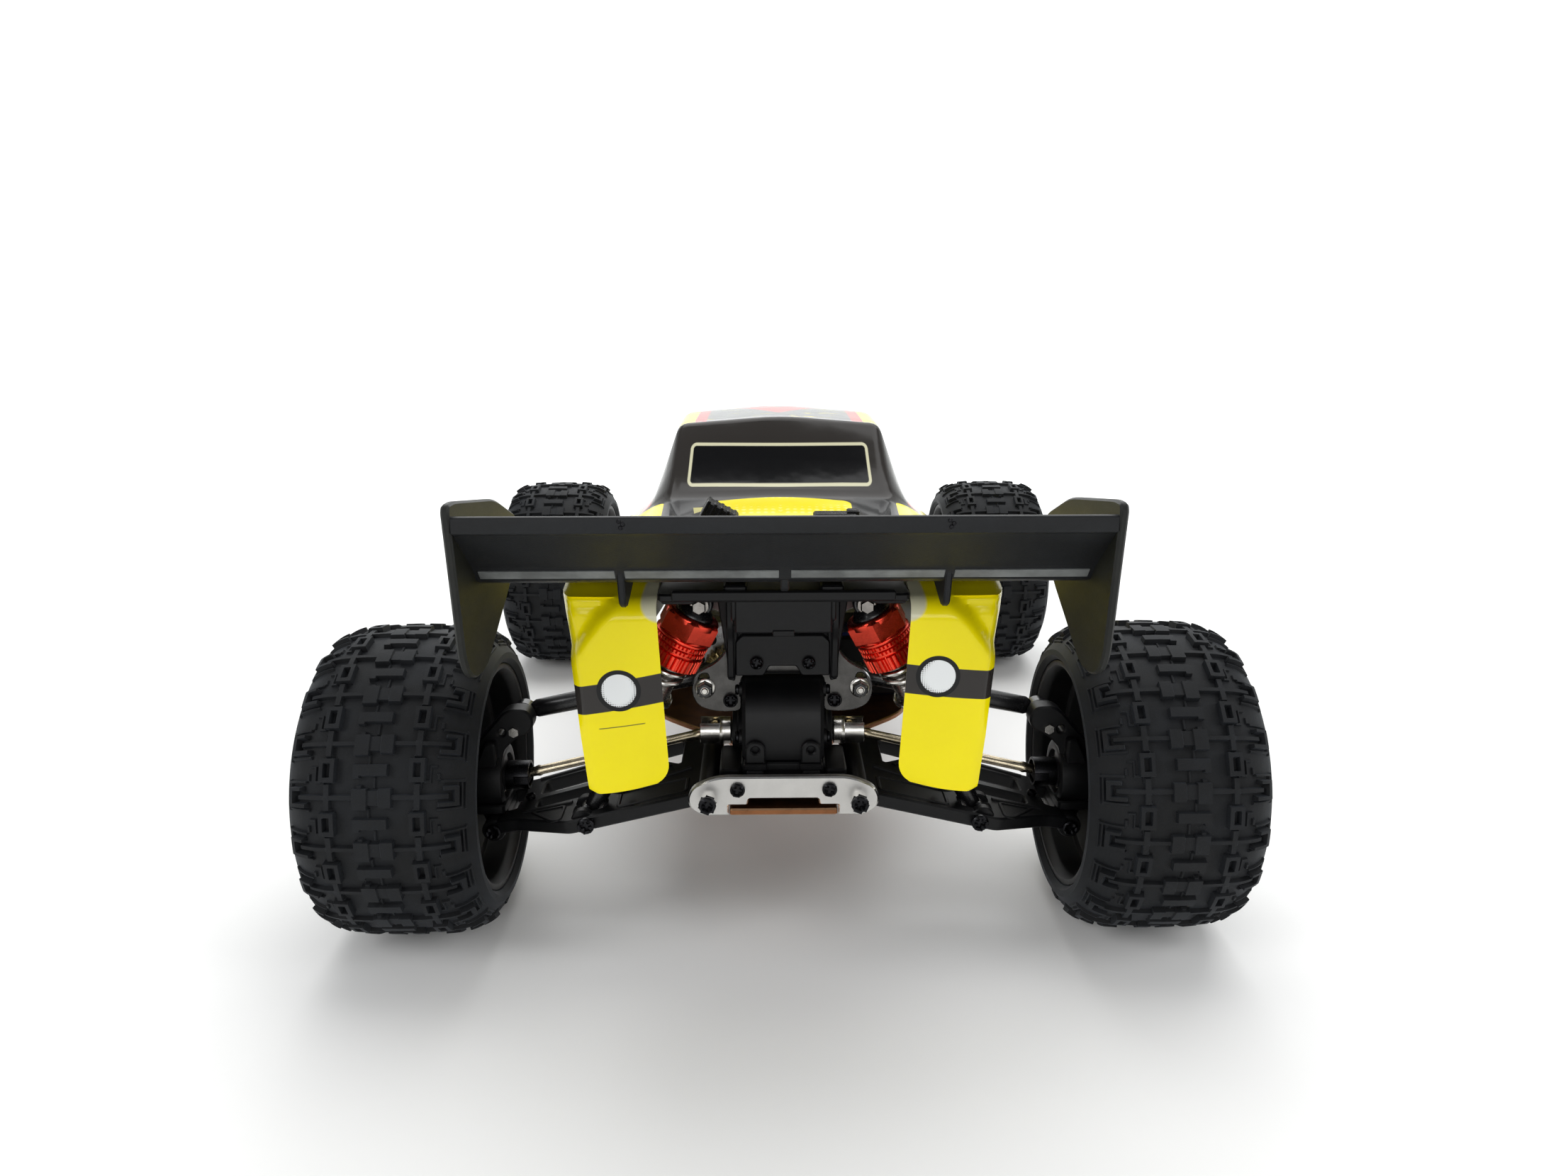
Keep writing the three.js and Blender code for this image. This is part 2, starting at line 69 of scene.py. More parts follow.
rearAxle = middleOf("rear_left_tyre")[1]
frontAxle = middleOf("front_left_tyre")[1]
axleHeight = middleOf("rear_left_tyre")[2]
ends = {"rear": (rearAxle, -1), "front": (frontAxle, 1)}
sides = {"left": -1, "right": 1}


# a shape: points in millimetres, and arrays of corner numbers that each carry a finish number
class Shape:
    def __init__(self, points, faces):
        self.points = np.asarray(points, float).reshape(-1, 3)
        self.faces = faces

    def __add__(self, other):
        shift = len(self.points)
        moved = [(corners + shift, finish) for corners, finish in other.faces]
        return Shape(np.vstack([self.points, other.points]), self.faces + moved)

    def at(self, x=0, y=0, z=0):
        return Shape(self.points + (x, y, z), self.faces)

    def flipped(self):
        return Shape(self.points, [(corners[:, ::-1], finish) for corners, finish in self.faces])

    # six times the volume is the sum of a . (b x c) over every face's fan; a negative one is inside out
    def outward(self):
        volume = 0
        for corners, _ in self.faces:
            a = self.points[corners[:, 0]]
            for i in range(1, corners.shape[1] - 1):
                b, c = self.points[corners[:, i]], self.points[corners[:, i + 1]]
                volume += np.einsum("ij,ij->", a, np.cross(b, c))
        return self if volume > 0 else self.flipped()

    # scaled along the axes; an odd number of negative factors turns the faces round
    def scaled(self, x=1, y=1, z=1):
        shape = Shape(self.points * (x, y, z), self.faces)
        return shape.flipped() if x * y * z < 0 else shape

    # turned so that its own Z points along direction, with its own X as near as can be to side
    def aimed(self, origin, direction, side=(0, 0, 1)):
        w = unit(direction)
        u = np.asarray(side, float) - np.dot(side, w) * w
        if np.linalg.norm(u) < 1e-3:
            u = np.array([1.0, 0, 0]) - w[0] * w
        u = unit(u)
        axes = np.stack([u, np.cross(w, u), w])
        return Shape(self.points @ axes + origin, self.faces)

    def finished(self, finish):
        return Shape(self.points, [(corners, finish) for corners, _ in self.faces])


# each vector divided by its length
def unit(vector):
    vector = np.asarray(vector, float)
    return vector / np.linalg.norm(vector, axis=-1, keepdims=True)


# one shape that holds all the others
def joined(shapes):
    shapes = list(shapes)
    whole = shapes[0]
    for shape in shapes[1:]:
        whole = whole + shape
    return whole


# a corner shape is drawn with x outwards and y away from the car's middle, then mirrored into place
def inCorner(shape, end, side):
    axleY, away = ends[end]
    return shape.scaled(sides[side], away).at(0, axleY)


# a shape drawn with y away from the car's middle, put at one end
def atEnd(shape, end):
    axleY, away = ends[end]
    return shape.scaled(1, away).at(0, axleY)


# a shape and its reflection in the car's middle plane
def mirrored(shape):
    return shape + shape.scaled(-1)


# surfaces
# quads between the neighbouring points of a rows x columns grid of points, closed round either way
def gridShape(grid, closeRows=False, closeCols=False, caps=False, finish=0):
    rows, cols = grid.shape[:2]
    r = np.arange(rows if closeRows else rows - 1)[:, None]
    c = np.arange(cols if closeCols else cols - 1)[None, :]
    r1, c1 = (r + 1) % rows, (c + 1) % cols
    quads = np.stack([r * cols + c, r * cols + c1, r1 * cols + c1, r1 * cols + c], -1).reshape(-1, 4)
    faces = [(quads, finish)]
    if caps:
        ring = np.arange(cols)[None, :]
        faces += [(ring[:, ::-1], finish), (ring + (rows - 1) * cols, finish)]
    return Shape(grid.reshape(-1, 3), faces)


# points that stand apart from the one before them
def distinct(points, closed):
    apart = np.linalg.norm(points - np.roll(points, 1, 0), axis=1) > 1e-5
    apart[0] = apart[0] or not closed
    return points[apart]


# each corner becomes a quadratic curve that leaves both sides up to radius before the corner
def eased(points, radius, steps=3, closed=False):
    points = np.asarray(points, float)
    radius = np.broadcast_to(radius, len(points))[:, None]
    before, after = np.roll(points, 1, 0) - points, np.roll(points, -1, 0) - points
    lengthBefore = np.linalg.norm(before, axis=1, keepdims=True)
    lengthAfter = np.linalg.norm(after, axis=1, keepdims=True)
    reach = np.minimum(radius, 0.48 * np.minimum(lengthBefore, lengthAfter))
    s = np.linspace(0, 1, steps + 1)[None, :, None]
    first = (points + before / lengthBefore * reach)[:, None]
    last = (points + after / lengthAfter * reach)[:, None]
    curves = (1 - s) ** 2 * first + 2 * s * (1 - s) * points[:, None] + s ** 2 * last
    if closed:
        return distinct(curves.reshape(-1, points.shape[1]), closed)
    inner = curves[1:-1].reshape(-1, points.shape[1])
    return distinct(np.vstack([points[:1], inner, points[-1:]]), closed)


# (height, radius) points turned round Z: (radius cos a, radius sin a, height); a closed profile makes a ring
def turned(profile, count=32, ring=False, finish=0, ease=0.0, phase=0.0, wave=None):
    profile = eased(profile, ease, 2, ring) if ease else np.asarray(profile, float)
    angle = (np.arange(count) / count * turn + phase)[None, :]
    height, radius = profile[:, :1], profile[:, 1:2]
    radius = radius * np.ones_like(angle)
    if wave is not None:
        radius = radius + wave(height, angle)
    grid = np.stack([radius * np.cos(angle), radius * np.sin(angle), height + 0 * angle], -1)
    return gridShape(grid, closeRows=ring, closeCols=True, caps=not ring, finish=finish).outward()


# a closed section, sized by scale at each point of a path, carried square to the path
def carried(path, section, up=(0, 0, 1), scale=1.0, closed=False, finish=0):
    path = np.asarray(path, float)
    along = np.roll(path, -1, 0) - np.roll(path, 1, 0) if closed else np.gradient(path, axis=0)
    along = unit(along)
    across = unit(np.cross(along, np.broadcast_to(up, along.shape)))
    over = np.cross(across, along)
    section = np.asarray(section, float)
    scale = np.broadcast_to(scale, len(path))[:, None, None]
    offsets = section[None, :, :1] * across[:, None] + section[None, :, 1:] * over[:, None]
    grid = path[:, None] + offsets * scale
    return gridShape(grid, closeRows=closed, closeCols=True, caps=not closed, finish=finish).outward()


# (radius cos a, radius sin a) round a centre
def circle(radius, count=24, centre=(0, 0), phase=0.0):
    angle = np.arange(count) / count * turn + phase
    return np.stack([centre[0] + radius * np.cos(angle), centre[1] + radius * np.sin(angle)], -1)


# four corners round a centre, eased by radius
def rectangle(width, height, radius=0.0, centre=(0, 0), steps=3):
    half = np.array([[-1, -1], [1, -1], [1, 1], [-1, 1]]) * (width / 2, height / 2) + centre
    return eased(half, radius, steps, closed=True) if radius else half


# half an outline joined to its reflection, with a radius for each corner
def mirroredOutline(half, radii, steps):
    right, radii = np.asarray(half, float), np.asarray(radii, float)
    outline = np.vstack([right, (right * (-1, 1))[::-1][1:-1]])
    return eased(outline, np.concatenate([radii, radii[::-1][1:-1]]), steps, True)


# the loop in the order that makes its shoelace area positive, or negative for a hole
def counterclockwise(loop, wanted=True):
    loop = np.asarray(loop, float)
    x, y = loop[:, 0], loop[:, 1]
    area = np.sum(x * np.roll(y, -1) - np.roll(x, -1) * y)
    return loop if (area > 0) == wanted else loop[::-1]


# each point of a loop moved towards the material, on its left, along the bisector of its two sides
def inset(loop, distance):
    before, after = unit(loop - np.roll(loop, 1, 0)), unit(np.roll(loop, -1, 0) - loop)
    normals = [np.stack([-d[:, 1], d[:, 0]], -1) for d in (before, after)]
    bisector = unit(normals[0] + normals[1])
    stretch = np.clip(np.einsum("ij,ij->i", bisector, normals[0]), 0.5, 1)[:, None]
    return loop + bisector * distance / stretch


# an outline with holes, raised from near to far along its own Z, with chamfered edges of their own finish
def plate(outline, near, far, chamfer=0.3, holes=(), finish=0, edge=None, ease=0.0, steps=3):
    edge = finish if edge is None else edge
    outline = eased(outline, ease, steps, True) if np.any(ease) else outline
    loops = [counterclockwise(outline)] + [counterclockwise(hole, False) for hole in holes]
    levels = [(near, chamfer), (near + chamfer, 0), (far - chamfer, 0), (far, chamfer)]
    flat = [inset(loop, chamfer) for loop in loops]
    count = sum(len(loop) for loop in loops)
    triangles = np.array(tessellate_polygon([[Vector((u, v, 0)) for u, v in loop] for loop in flat]))
    corners = np.vstack(flat)[triangles]
    side = np.cross(corners[:, 1] - corners[:, 0], corners[:, 2] - corners[:, 0])
    triangles = np.where(side[:, None] > 0, triangles, triangles[:, ::-1])
    triangles = triangles[np.abs(side) > 1e-9]
    points, faces = [], []
    for height, inward in levels:
        rings = np.vstack([inset(loop, inward) if inward else loop for loop in loops])
        points.append(np.column_stack([rings, np.full(len(rings), height)]))
    for level in range(3):
        start = level * count
        for loop in loops:
            i = np.arange(len(loop))
            j = (i + 1) % len(loop)
            quads = np.stack([start + i, start + j, start + count + j, start + count + i], -1)
            faces.append((quads, finish if level == 1 else edge))
            start += len(loop)
    faces.append((triangles[:, ::-1], finish))
    faces.append((triangles + 3 * count, finish))
    return Shape(np.vstack(points), faces)


# plates drawn in the X-Z plane and raised along Y, or in Y-Z along X
def plateXZ(outline, near, far, **options):
    shape = plate(outline, near, far, **options)
    x, z, y = shape.points.T
    return Shape(np.stack([x, y, z], -1), shape.faces).flipped()


def plateYZ(outline, near, far, **options):
    shape = plate(outline, near, far, **options)
    y, z, x = shape.points.T
    return Shape(np.stack([x, y, z], -1), shape.faces)


# a box given by its ranges in x, y and z, with eased upright corners and chamfers
def roundedBlock(x, y, z, radius=1.0, chamfer=0.5, finish=0, edge=None):
    outline = rectangle(x[1] - x[0], y[1] - y[0], radius, ((x[0] + x[1]) / 2, (y[0] + y[1]) / 2))
    return plate(outline, z[0], z[1], chamfer=chamfer, finish=finish, edge=edge)


# pieces: a shape written into a mesh that rides on a body
def piece(name, shape, finishNames, body, replaces=(), sharp=32):
    faces = [(corners, finish) for corners, finish in shape.faces if len(corners)]
    sizes = np.concatenate([np.full(len(corners), corners.shape[1]) for corners, _ in faces])
    finishes = np.concatenate([np.full(len(corners), finish) for corners, finish in faces])
    mesh = bpy.data.meshes.new(name)
    mesh.vertices.add(len(shape.points))
    mesh.vertices.foreach_set("co", (shape.points * mm).ravel())
    mesh.loops.add(int(sizes.sum()))
    mesh.loops.foreach_set("vertex_index", np.concatenate([corners.ravel() for corners, _ in faces]))
    mesh.polygons.add(len(sizes))
    mesh.polygons.foreach_set("loop_start", np.concatenate([[0], np.cumsum(sizes)[:-1]]))
    mesh.polygons.foreach_set("material_index", finishes)
    mesh.update(calc_edges=True)
    mesh.validate()
    mesh.shade_smooth()
    mesh.set_sharp_from_angle(angle=math.radians(sharp))
    for key in finishNames:
        mesh.materials.append(looks[key])
    made = bpy.data.objects.new(name, mesh)
    bpy.context.scene.collection.objects.link(made)
    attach(made, body)
    if replaces:
        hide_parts(*replaces)
    return made


# fasteners, drawn from their seat along their own Z
crossShape = {"arm": 0.62, "width": 0.2}


# three corners of a cross turned by quarter turns
def crossHole(radius):
    a, w = radius * crossShape["arm"], radius * crossShape["width"]
    quarter = [(a, -w), (a, w), (w, w)]
    spin = [np.array(quarter) @ [[c, s], [-s, c]] for c, s in ((1, 0), (0, 1), (-1, 0), (0, -1))]
    return np.vstack(spin)


# a head with a recess: a ring of material round the recess and a floor across the bottom of it
def screwHead(radius, height, recess="cross", finish=0, count=24, round=0.3):
    hole = crossHole(radius) if recess == "cross" else circle(radius * 0.52, 6)
    head = plate(circle(radius, count), 0, height, chamfer=height * round, holes=[hole], finish=finish)
    floor = turned([(0.05, radius * 0.8), (height * 0.35, radius * 0.8)], 12, finish=finish)
    return head + floor


# a hexagon nut on a flange, with a nylon ring and the screw's end showing
def lockNut(across, height, finish=0, dark=0):
    flange = turned([(0, across * 0.66), (height * 0.22, across * 0.66), (height * 0.32, across * 0.5)], 28,
                    finish=finish, ease=0.12)
    nut = turned([(0.1, across * 0.5), (height * 0.3, across * 0.56), (height * 0.75, across * 0.56),
                  (height * 0.9, across * 0.44)], 6, finish=finish, ease=0.1)
    ringPart = turned([(height * 0.5, across * 0.26), (height, across * 0.26), (height, across * 0.42),
                       (height * 0.5, across * 0.42)], 24, ring=True, finish=dark, ease=0.1)
    end = turned([(0, across * 0.22), (height * 0.94, across * 0.22), (height * 1.02, across * 0.16)], 16,
                 finish=finish)
    return flange + nut + ringPart + end


# shader maths
class Wire:
    def __init__(self, look, out):
        self.look, self.out = look, out

    def maths(self, operation, *others):
        inputs = {i: value for i, value in enumerate((self,) + others)}
        return self.look.node("ShaderNodeMath", {"operation": operation}, inputs)

    def __add__(self, other):
        return self.maths("ADD", other)

    def __mul__(self, other):
        return self.maths("MULTIPLY", other)

    def __sub__(self, other):
        return self.maths("SUBTRACT", other)

    def __rsub__(self, other):
        return self.look.node("ShaderNodeMath", {"operation": "SUBTRACT"}, {0: other, 1: self})

    def __truediv__(self, other):
        return self.maths("DIVIDE", other)

    __radd__, __rmul__ = __add__, __mul__

    def __abs__(self):
        return self.maths("ABSOLUTE")

    def least(self, other):
        return self.maths("MINIMUM", other)

    def most(self, other):
        return self.maths("MAXIMUM", other)

    # 0 below low, 1 above high, and a smooth step between them
    def step(self, low, high):
        inputs = {"Value": self, "From Min": low, "From Max": high}
        return self.look.node("ShaderNodeMapRange", {"interpolation_type": "SMOOTHSTEP"}, inputs)

    # 1 between low and high, with soft edges of the given width
    def within(self, low, high, soft=0.15):
        return self.step(low - soft, low + soft) * (1 - self.step(high - soft, high + soft))


class Look:
    def __init__(self, name, metallic=0.0, roughness=0.5, **constants):
        self.material = bpy.data.materials.new(name)
        self.material.use_nodes = True
        self.tree = self.material.node_tree
        self.shader = self.tree.nodes["Principled BSDF"]
        self.shader.inputs["Metallic"].default_value = metallic
        self.shader.inputs["Roughness"].default_value = roughness
        for socket, value in constants.items():
            self.shader.inputs[socket.replace("_", " ")].default_value = value
        place = self.node("ShaderNodeTexCoord", output="Object")
        self.place = self.node("ShaderNodeVectorMath", {"operation": "SCALE"}, {0: place, "Scale": 1 / mm})

    # any node: its settings first, then the values or links of its sockets
    def node(self, kind, settings=None, inputs=None, output=0):
        made = self.tree.nodes.new(kind)
        for key, value in (settings or {}).items():
            if key == "stops":
                self.setStops(made.color_ramp, value)
            else:
                setattr(made, key, value)
        for key, value in (inputs or {}).items():
            if isinstance(value, Wire):
                self.tree.links.new(value.out, made.inputs[key])
            else:
                made.inputs[key].default_value = value
        return Wire(self, made.outputs[output])

    def setStops(self, ramp, stops):
        while len(ramp.elements) < len(stops):
            ramp.elements.new(0.5)
        for element, (position, colour) in zip(ramp.elements, stops):
            element.position = position
            element.color = (*colour, 1)

    # the point in millimetres: across the car, along it and up
    def axes(self):
        split = self.node("ShaderNodeSeparateXYZ", None, {0: self.place}).out.node
        return [Wire(self, split.outputs[i]) for i in range(3)]

    # grain per millimetre, stretched by the three factors
    def noise(self, scale, detail=3.0, rough=0.55, stretch=(1, 1, 1)):
        place = self.place
        if stretch != (1, 1, 1):
            place = self.node("ShaderNodeVectorMath", {"operation": "MULTIPLY"}, {0: place, 1: stretch})
        inputs = {"Vector": place, "Scale": scale, "Detail": detail, "Roughness": rough}
        return self.node("ShaderNodeTexNoise", None, inputs)

    # cell distance over an even lattice: a regular field of dots
    def dots(self, scale):
        inputs = {"Vector": self.place, "Scale": scale, "Randomness": 0.0}
        return self.node("ShaderNodeTexVoronoi", {"feature": "F1"}, inputs)

    def mix(self, factor, first, second):
        settings = {"data_type": "RGBA"}
        inputs = {0: factor, 6: paint(first), 7: paint(second)}
        return self.node("ShaderNodeMix", settings, inputs, output=2)

    def feed(self, socket, value):
        self.tree.links.new(value.out, self.shader.inputs[socket])

    def bump(self, height, distance, strength=1.0):
        inputs = {"Height": height, "Distance": distance * mm, "Strength": strength}
        self.feed("Normal", self.node("ShaderNodeBump", None, inputs))


def paint(colour):
    return colour if isinstance(colour, Wire) else (*colour, 1)


def shade(colour, factor):
    return tuple(channel * factor for channel in colour)


# moulded plastic: flow streaks in the colour, a fine pebbled face and worn, shinier patches
def moulded(name, colour, roughness=0.5, grain=0.02, pebble=5.0, streak=0.25, dust=None, **constants):
    look = Look(name, **constants)
    flow = look.noise(0.09, 4, 0.6, (1, 0.5, 1.6))
    speck = look.noise(1.7, 3, 0.7)
    base = look.mix(flow.step(0.3, 0.75), shade(colour, 1 - streak), shade(colour, 1 + streak))
    if dust:
        base = look.mix(speck.step(0.56, 0.78) * flow.step(0.4, 0.8) * 0.5, base, dust)
    look.feed("Base Color", base)
    look.feed("Roughness", flow * 0.16 + speck * 0.1 + (roughness - 0.13))
    look.bump(look.noise(pebble, 2, 0.5) + speck * 0.6, grain)
    return look.material


# bare or plated metal: fine scratches stretched along one axis, with soft stains
def metal(name, colour, roughness=0.3, brush=(1, 1, 14), scratch=0.012, stain=0.2, tint=None, **constants):
    look = Look(name, metallic=1.0, **constants)
    lines = look.noise(2.4, 3, 0.6, brush)
    clouds = look.noise(0.22, 4, 0.6)
    tone = look.mix(clouds.step(0.32, 0.7), shade(colour, 1 - stain), colour)
    tone = look.mix(lines.step(0.58, 0.72) * 0.35, tone, tint or shade(colour, 1.25))
    look.feed("Base Color", tone)
    look.feed("Roughness", lines * 0.16 + clouds * 0.12 + (roughness - 0.14))
    look.bump(lines, scratch)
    return look.material


looks = {
    "nylon": moulded("blackNylon", (0.0034, 0.0035, 0.004), 0.44, dust=(0.014, 0.014, 0.014),
                     Specular_IOR_Level=0.22),
    "nylonGloss": moulded("polishedNylon", (0.004, 0.004, 0.0045), 0.27, grain=0.01),
    "wing": moulded("wingPlastic", (0.0052, 0.006, 0.0072), 0.48, grain=0.03, pebble=3.2,
                    dust=(0.02, 0.022, 0.024),
                    Specular_IOR_Level=0.25),
    "wingEnd": moulded("wingEnds", (0.0085, 0.0092, 0.0078), 0.5, grain=0.03, Specular_IOR_Level=0.25),
    # painted highlight: the light grey finish of the strips along the wing's bend
    "wingHighlight": moulded("paintedWingHighlight", (0.13, 0.138, 0.135), 0.34, grain=0.01, streak=0.4),
    "case": moulded("caseBlack", (0.005, 0.005, 0.0058), 0.42, Specular_IOR_Level=0.22),
    "blackScrew": metal("blackedSteel", (0.02, 0.02, 0.022), 0.34, (1, 1, 4), stain=0.3,
                        tint=(0.2, 0.2, 0.2)),
    "steel": metal("platedSteel", (0.62, 0.6, 0.56), 0.24, (1, 1, 6)),
    "darkSteel": metal("oiledSteel", (0.3, 0.28, 0.26), 0.26, (1, 1, 6), stain=0.35),
    "satin": metal("satinPlate", (0.58, 0.57, 0.55), 0.42, (3, 3, 3), scratch=0.008, stain=0.08),
    "satinEdge": metal("brightChamfer", (0.86, 0.85, 0.82), 0.16, (3, 3, 3), scratch=0.004, stain=0.05),
    "brass": metal("brassTint", (0.66, 0.52, 0.27), 0.26, (1, 1, 6)),
    "shaft": metal("strawSteel", (0.58, 0.5, 0.36), 0.24, (0.2, 4, 4), stain=0.3),
    "graphite": metal("graphitePlate", (0.1, 0.097, 0.093), 0.42, (2, 2, 2), stain=0.3,
                      tint=(0.2, 0.195, 0.19)),
    "graphiteEdge": metal("graphiteChamfer", (0.42, 0.42, 0.43), 0.26, (2, 2, 2), stain=0.3),
    "copper": metal("copperPlate", (0.27, 0.115, 0.05), 0.42, (0.3, 3, 3), stain=0.25,
                    tint=(0.42, 0.22, 0.11)),
    "copperEdge": metal("copperChamfer", (0.62, 0.36, 0.2), 0.3, (0.3, 3, 3), stain=0.2),
    "red": metal("redAnodised", (0.8, 0.07, 0.04), 0.26, (2, 2, 9), scratch=0.006, stain=0.2,
                 tint=(0.95, 0.25, 0.17)),
    "canMetal": metal("turnedCan", (0.5, 0.51, 0.52), 0.3, (0.3, 12, 0.3)),
    "lampFace": moulded("lampWhite", (0.72, 0.73, 0.73), 0.3, streak=0.06),
    "wrap": moulded("cellWrap", (0.02, 0.035, 0.16), 0.3, grain=0.006),
    "wireRed": moulded("redLead", (0.4, 0.02, 0.015), 0.45),
    "wireBlack": moulded("blackLead", (0.012, 0.012, 0.012), 0.45),
    "wireBlue": moulded("blueLead", (0.01, 0.05, 0.3), 0.45),
}


# tyre rubber: matte, in random darker and bluish patches, with light specks of dust, fine pits and a faint
# bluish sheen
def rubberLook():
    look = Look("treadRubber", Specular_IOR_Level=0.24, Sheen_Weight=0.06, Sheen_Roughness=0.5,
                Sheen_Tint=(0.6, 0.68, 0.8, 1))
    clouds = look.noise(0.07, 5, 0.65)
    speck = look.noise(2.2, 3, 0.7)
    base = look.mix(clouds.step(0.35, 0.7), (0.0024, 0.0027, 0.0032), (0.0058, 0.0068, 0.0084))
    base = look.mix(speck.step(0.68, 0.8) * 0.4, base, (0.03, 0.031, 0.033))
    look.feed("Base Color", base)
    look.feed("Roughness", clouds * 0.2 + speck * 0.12 + 0.5)
    look.bump(look.noise(4.0, 3, 0.6) + speck, 0.03)
    return look.material


looks["rubber"] = rubberLook()
print("finishes made:", len(looks))


# tyres
# v runs across the tread and u along one pitch, both in millimetres; blocks are (v0, v1, u0, u1, height)
tyreSet = {
    "pitches": 20,
    "radius": 47,
    "wall": 0.14,
    "carcass": [(0, 45.7), (9, 45.5), (16, 44.9), (20.4, 43.4), (23.8, 40.6), (25.9, 38.2), (26.0, 36.4),
                (24.4, 35.1)],
    "middleBlocks": [(-5.4, -1.9, -2.4, 2.9, 1.7), (-1.9, 1.0, -2.0, 2.2, 1.25), (1.0, 5.2, -2.4, 3.4, 1.7),
                     (2.6, 4.0, -3.3, -2.0, 1.1), (-4.2, 5.1, 5.8, 8.9, 1.5), (3.2, 5.1, 8.9, 9.6, 1.5),
                     (0.6, 1.3, 3.2, 5.8, 0.5), (-1.0, -0.3, -5.6, -2.4, 0.5)],
    "sideBlocks": [
        (5.2, 20.2, -0.7, 0.7, 1.2), (11.2, 12.9, -3.7, 3.7, 1.3),
        (9.9, 11.2, 4.1, 10.7, 1.9), (12.9, 14.2, 4.1, 10.7, 1.9), (9.9, 14.2, 4.1, 5.5, 1.9),
        (9.9, 14.2, 9.3, 10.7, 1.9), (10.8, 11.2, 3.2, 4.6, 0.7), (12.9, 13.4, -4.6, -2.2, 0.7),
        (15.2, 15.8, -3.9, -8.6, 0.6), (13.9, 15.8, -4.5, -3.9, 0.6), (15.8, 17.2, -8.6, -8.0, 0.6),
        (21.2, 22.6, -2.9, 2.9, 2.0), (17.4, 22.6, 1.6, 2.9, 2.0),
        (18.8, 21.2, -2.9, -1.7, 2.0), (17.0, 24.0, 3.5, 4.1, 0.8), (23.4, 24.0, -3.9, 3.5, 0.8),
        (18.0, 24.6, -4.6, -3.9, 0.8), (24.6, 25.2, -5.0, 4.6, 0.6), (17.2, 18.0, -6.4, -4.6, 0.6),
    ],
}


# the carcass as (x, radius) and its outward normal, at a distance v from the middle along its curve
def carcassAt(v):
    half = eased(tyreSet["carcass"], 3.2, 6)
    whole = np.vstack([half[::-1] * (-1, 1), half[1:]])
    step = np.linalg.norm(np.diff(whole, axis=0), axis=1)
    along = np.concatenate([[0], np.cumsum(step)])
    along -= along[-1] / 2
    slope = np.gradient(whole, along, axis=0)
    at = np.stack([np.interp(v, along, whole[:, i]) for i in (0, 1)], -1)
    normal = unit(np.stack([-np.interp(v, along, slope[:, 1]), np.interp(v, along, slope[:, 0])], -1))
    return at, normal, along[-1]


# grid lines just inside and just outside every edge, so that each block has a steep wall
def gridLines(edges, low, high, extra):
    wall = tyreSet["wall"]
    lines = np.concatenate([np.asarray(edges) - wall, np.asarray(edges) + wall, extra, [low, high]])
    lines = np.unique(np.round(lines[(lines >= low) & (lines <= high)], 3))
    return lines[np.concatenate([[True], np.diff(lines) > wall * 0.6])]


# height over the carcass: the greatest height among the blocks that hold the point (u goes round)
def treadHeight(u, v, blocks, pitch):
    height = np.zeros(np.broadcast(u, v).shape)
    for v0, v1, u0, u1, rise in blocks:
        middle, half = (u0 + u1) / 2, abs(u1 - u0) / 2
        away = np.abs((u - middle + pitch / 2) % pitch - pitch / 2)
        inside = (v > v0) & (v < v1) & (away < half)
        height = np.where(inside, np.maximum(height, rise), height)
    return height


def tyreShape():
    pitch = turn * tyreSet["radius"] / tyreSet["pitches"]
    blocks = list(tyreSet["middleBlocks"])
    for v0, v1, u0, u1, rise in tyreSet["sideBlocks"]:
        blocks += [(v0, v1, u0, u1, rise), (-v1, -v0, u0, u1, rise)]
    edges = np.array(blocks)
    halfWidth = carcassAt(0.0)[2]
    v = gridLines(edges[:, :2].ravel(), -halfWidth, halfWidth, np.arange(-halfWidth, halfWidth, 1.9))
    u = gridLines(edges[:, 2:4].ravel() % pitch, 0, pitch - 0.05, np.arange(0, pitch, 2.4))
    u = (u[None, :] + np.arange(tyreSet["pitches"])[:, None] * pitch).ravel()
    height = treadHeight(u[:, None], v[None, :], blocks, pitch)
    at, normal, _ = carcassAt(v)
    x = at[None, :, 0] + normal[None, :, 0] * height
    radius = at[None, :, 1] + normal[None, :, 1] * height
    angle = (u / tyreSet["radius"])[:, None]
    grid = np.stack([x, radius * np.sin(angle), radius * np.cos(angle)], -1)
    # the last column meets the first one under the bead
    return gridShape(grid, closeRows=True, closeCols=True).outward()


rimSet = {"inside": 87.2, "outside": 135.6, "edge": 34.9, "barrel": 33.4, "spokes": 10, "face": 122.0}


# the barrel with its stepped inside, as (x, radius) points turned round the axle
def rimBarrel():
    r = rimSet
    profile = [
        (r["inside"], r["edge"]), (r["inside"], r["barrel"] - 0.2), (r["inside"] + 3, r["barrel"] - 1.3),
        (r["inside"] + 10, r["barrel"] - 1.4), (r["inside"] + 10.6, r["barrel"] - 3.2), (115.5, 26.8),
        (116.5, 24), (117.0, 9.2), (98.2, 9.0), (98.2, 2.6), (121.0, 2.6), (121.0, 24.2), (122.5, 28.6),
        (128, 30.2),
        (r["outside"] - 1.2, 33.0), (r["outside"], 33.6), (r["outside"], r["edge"]),
        (r["outside"] - 2.2, r["edge"]), (131, 34.0), (92, 34.0), (91, r["edge"]),
    ]
    return turned(profile, 72, ring=True, ease=0.5)


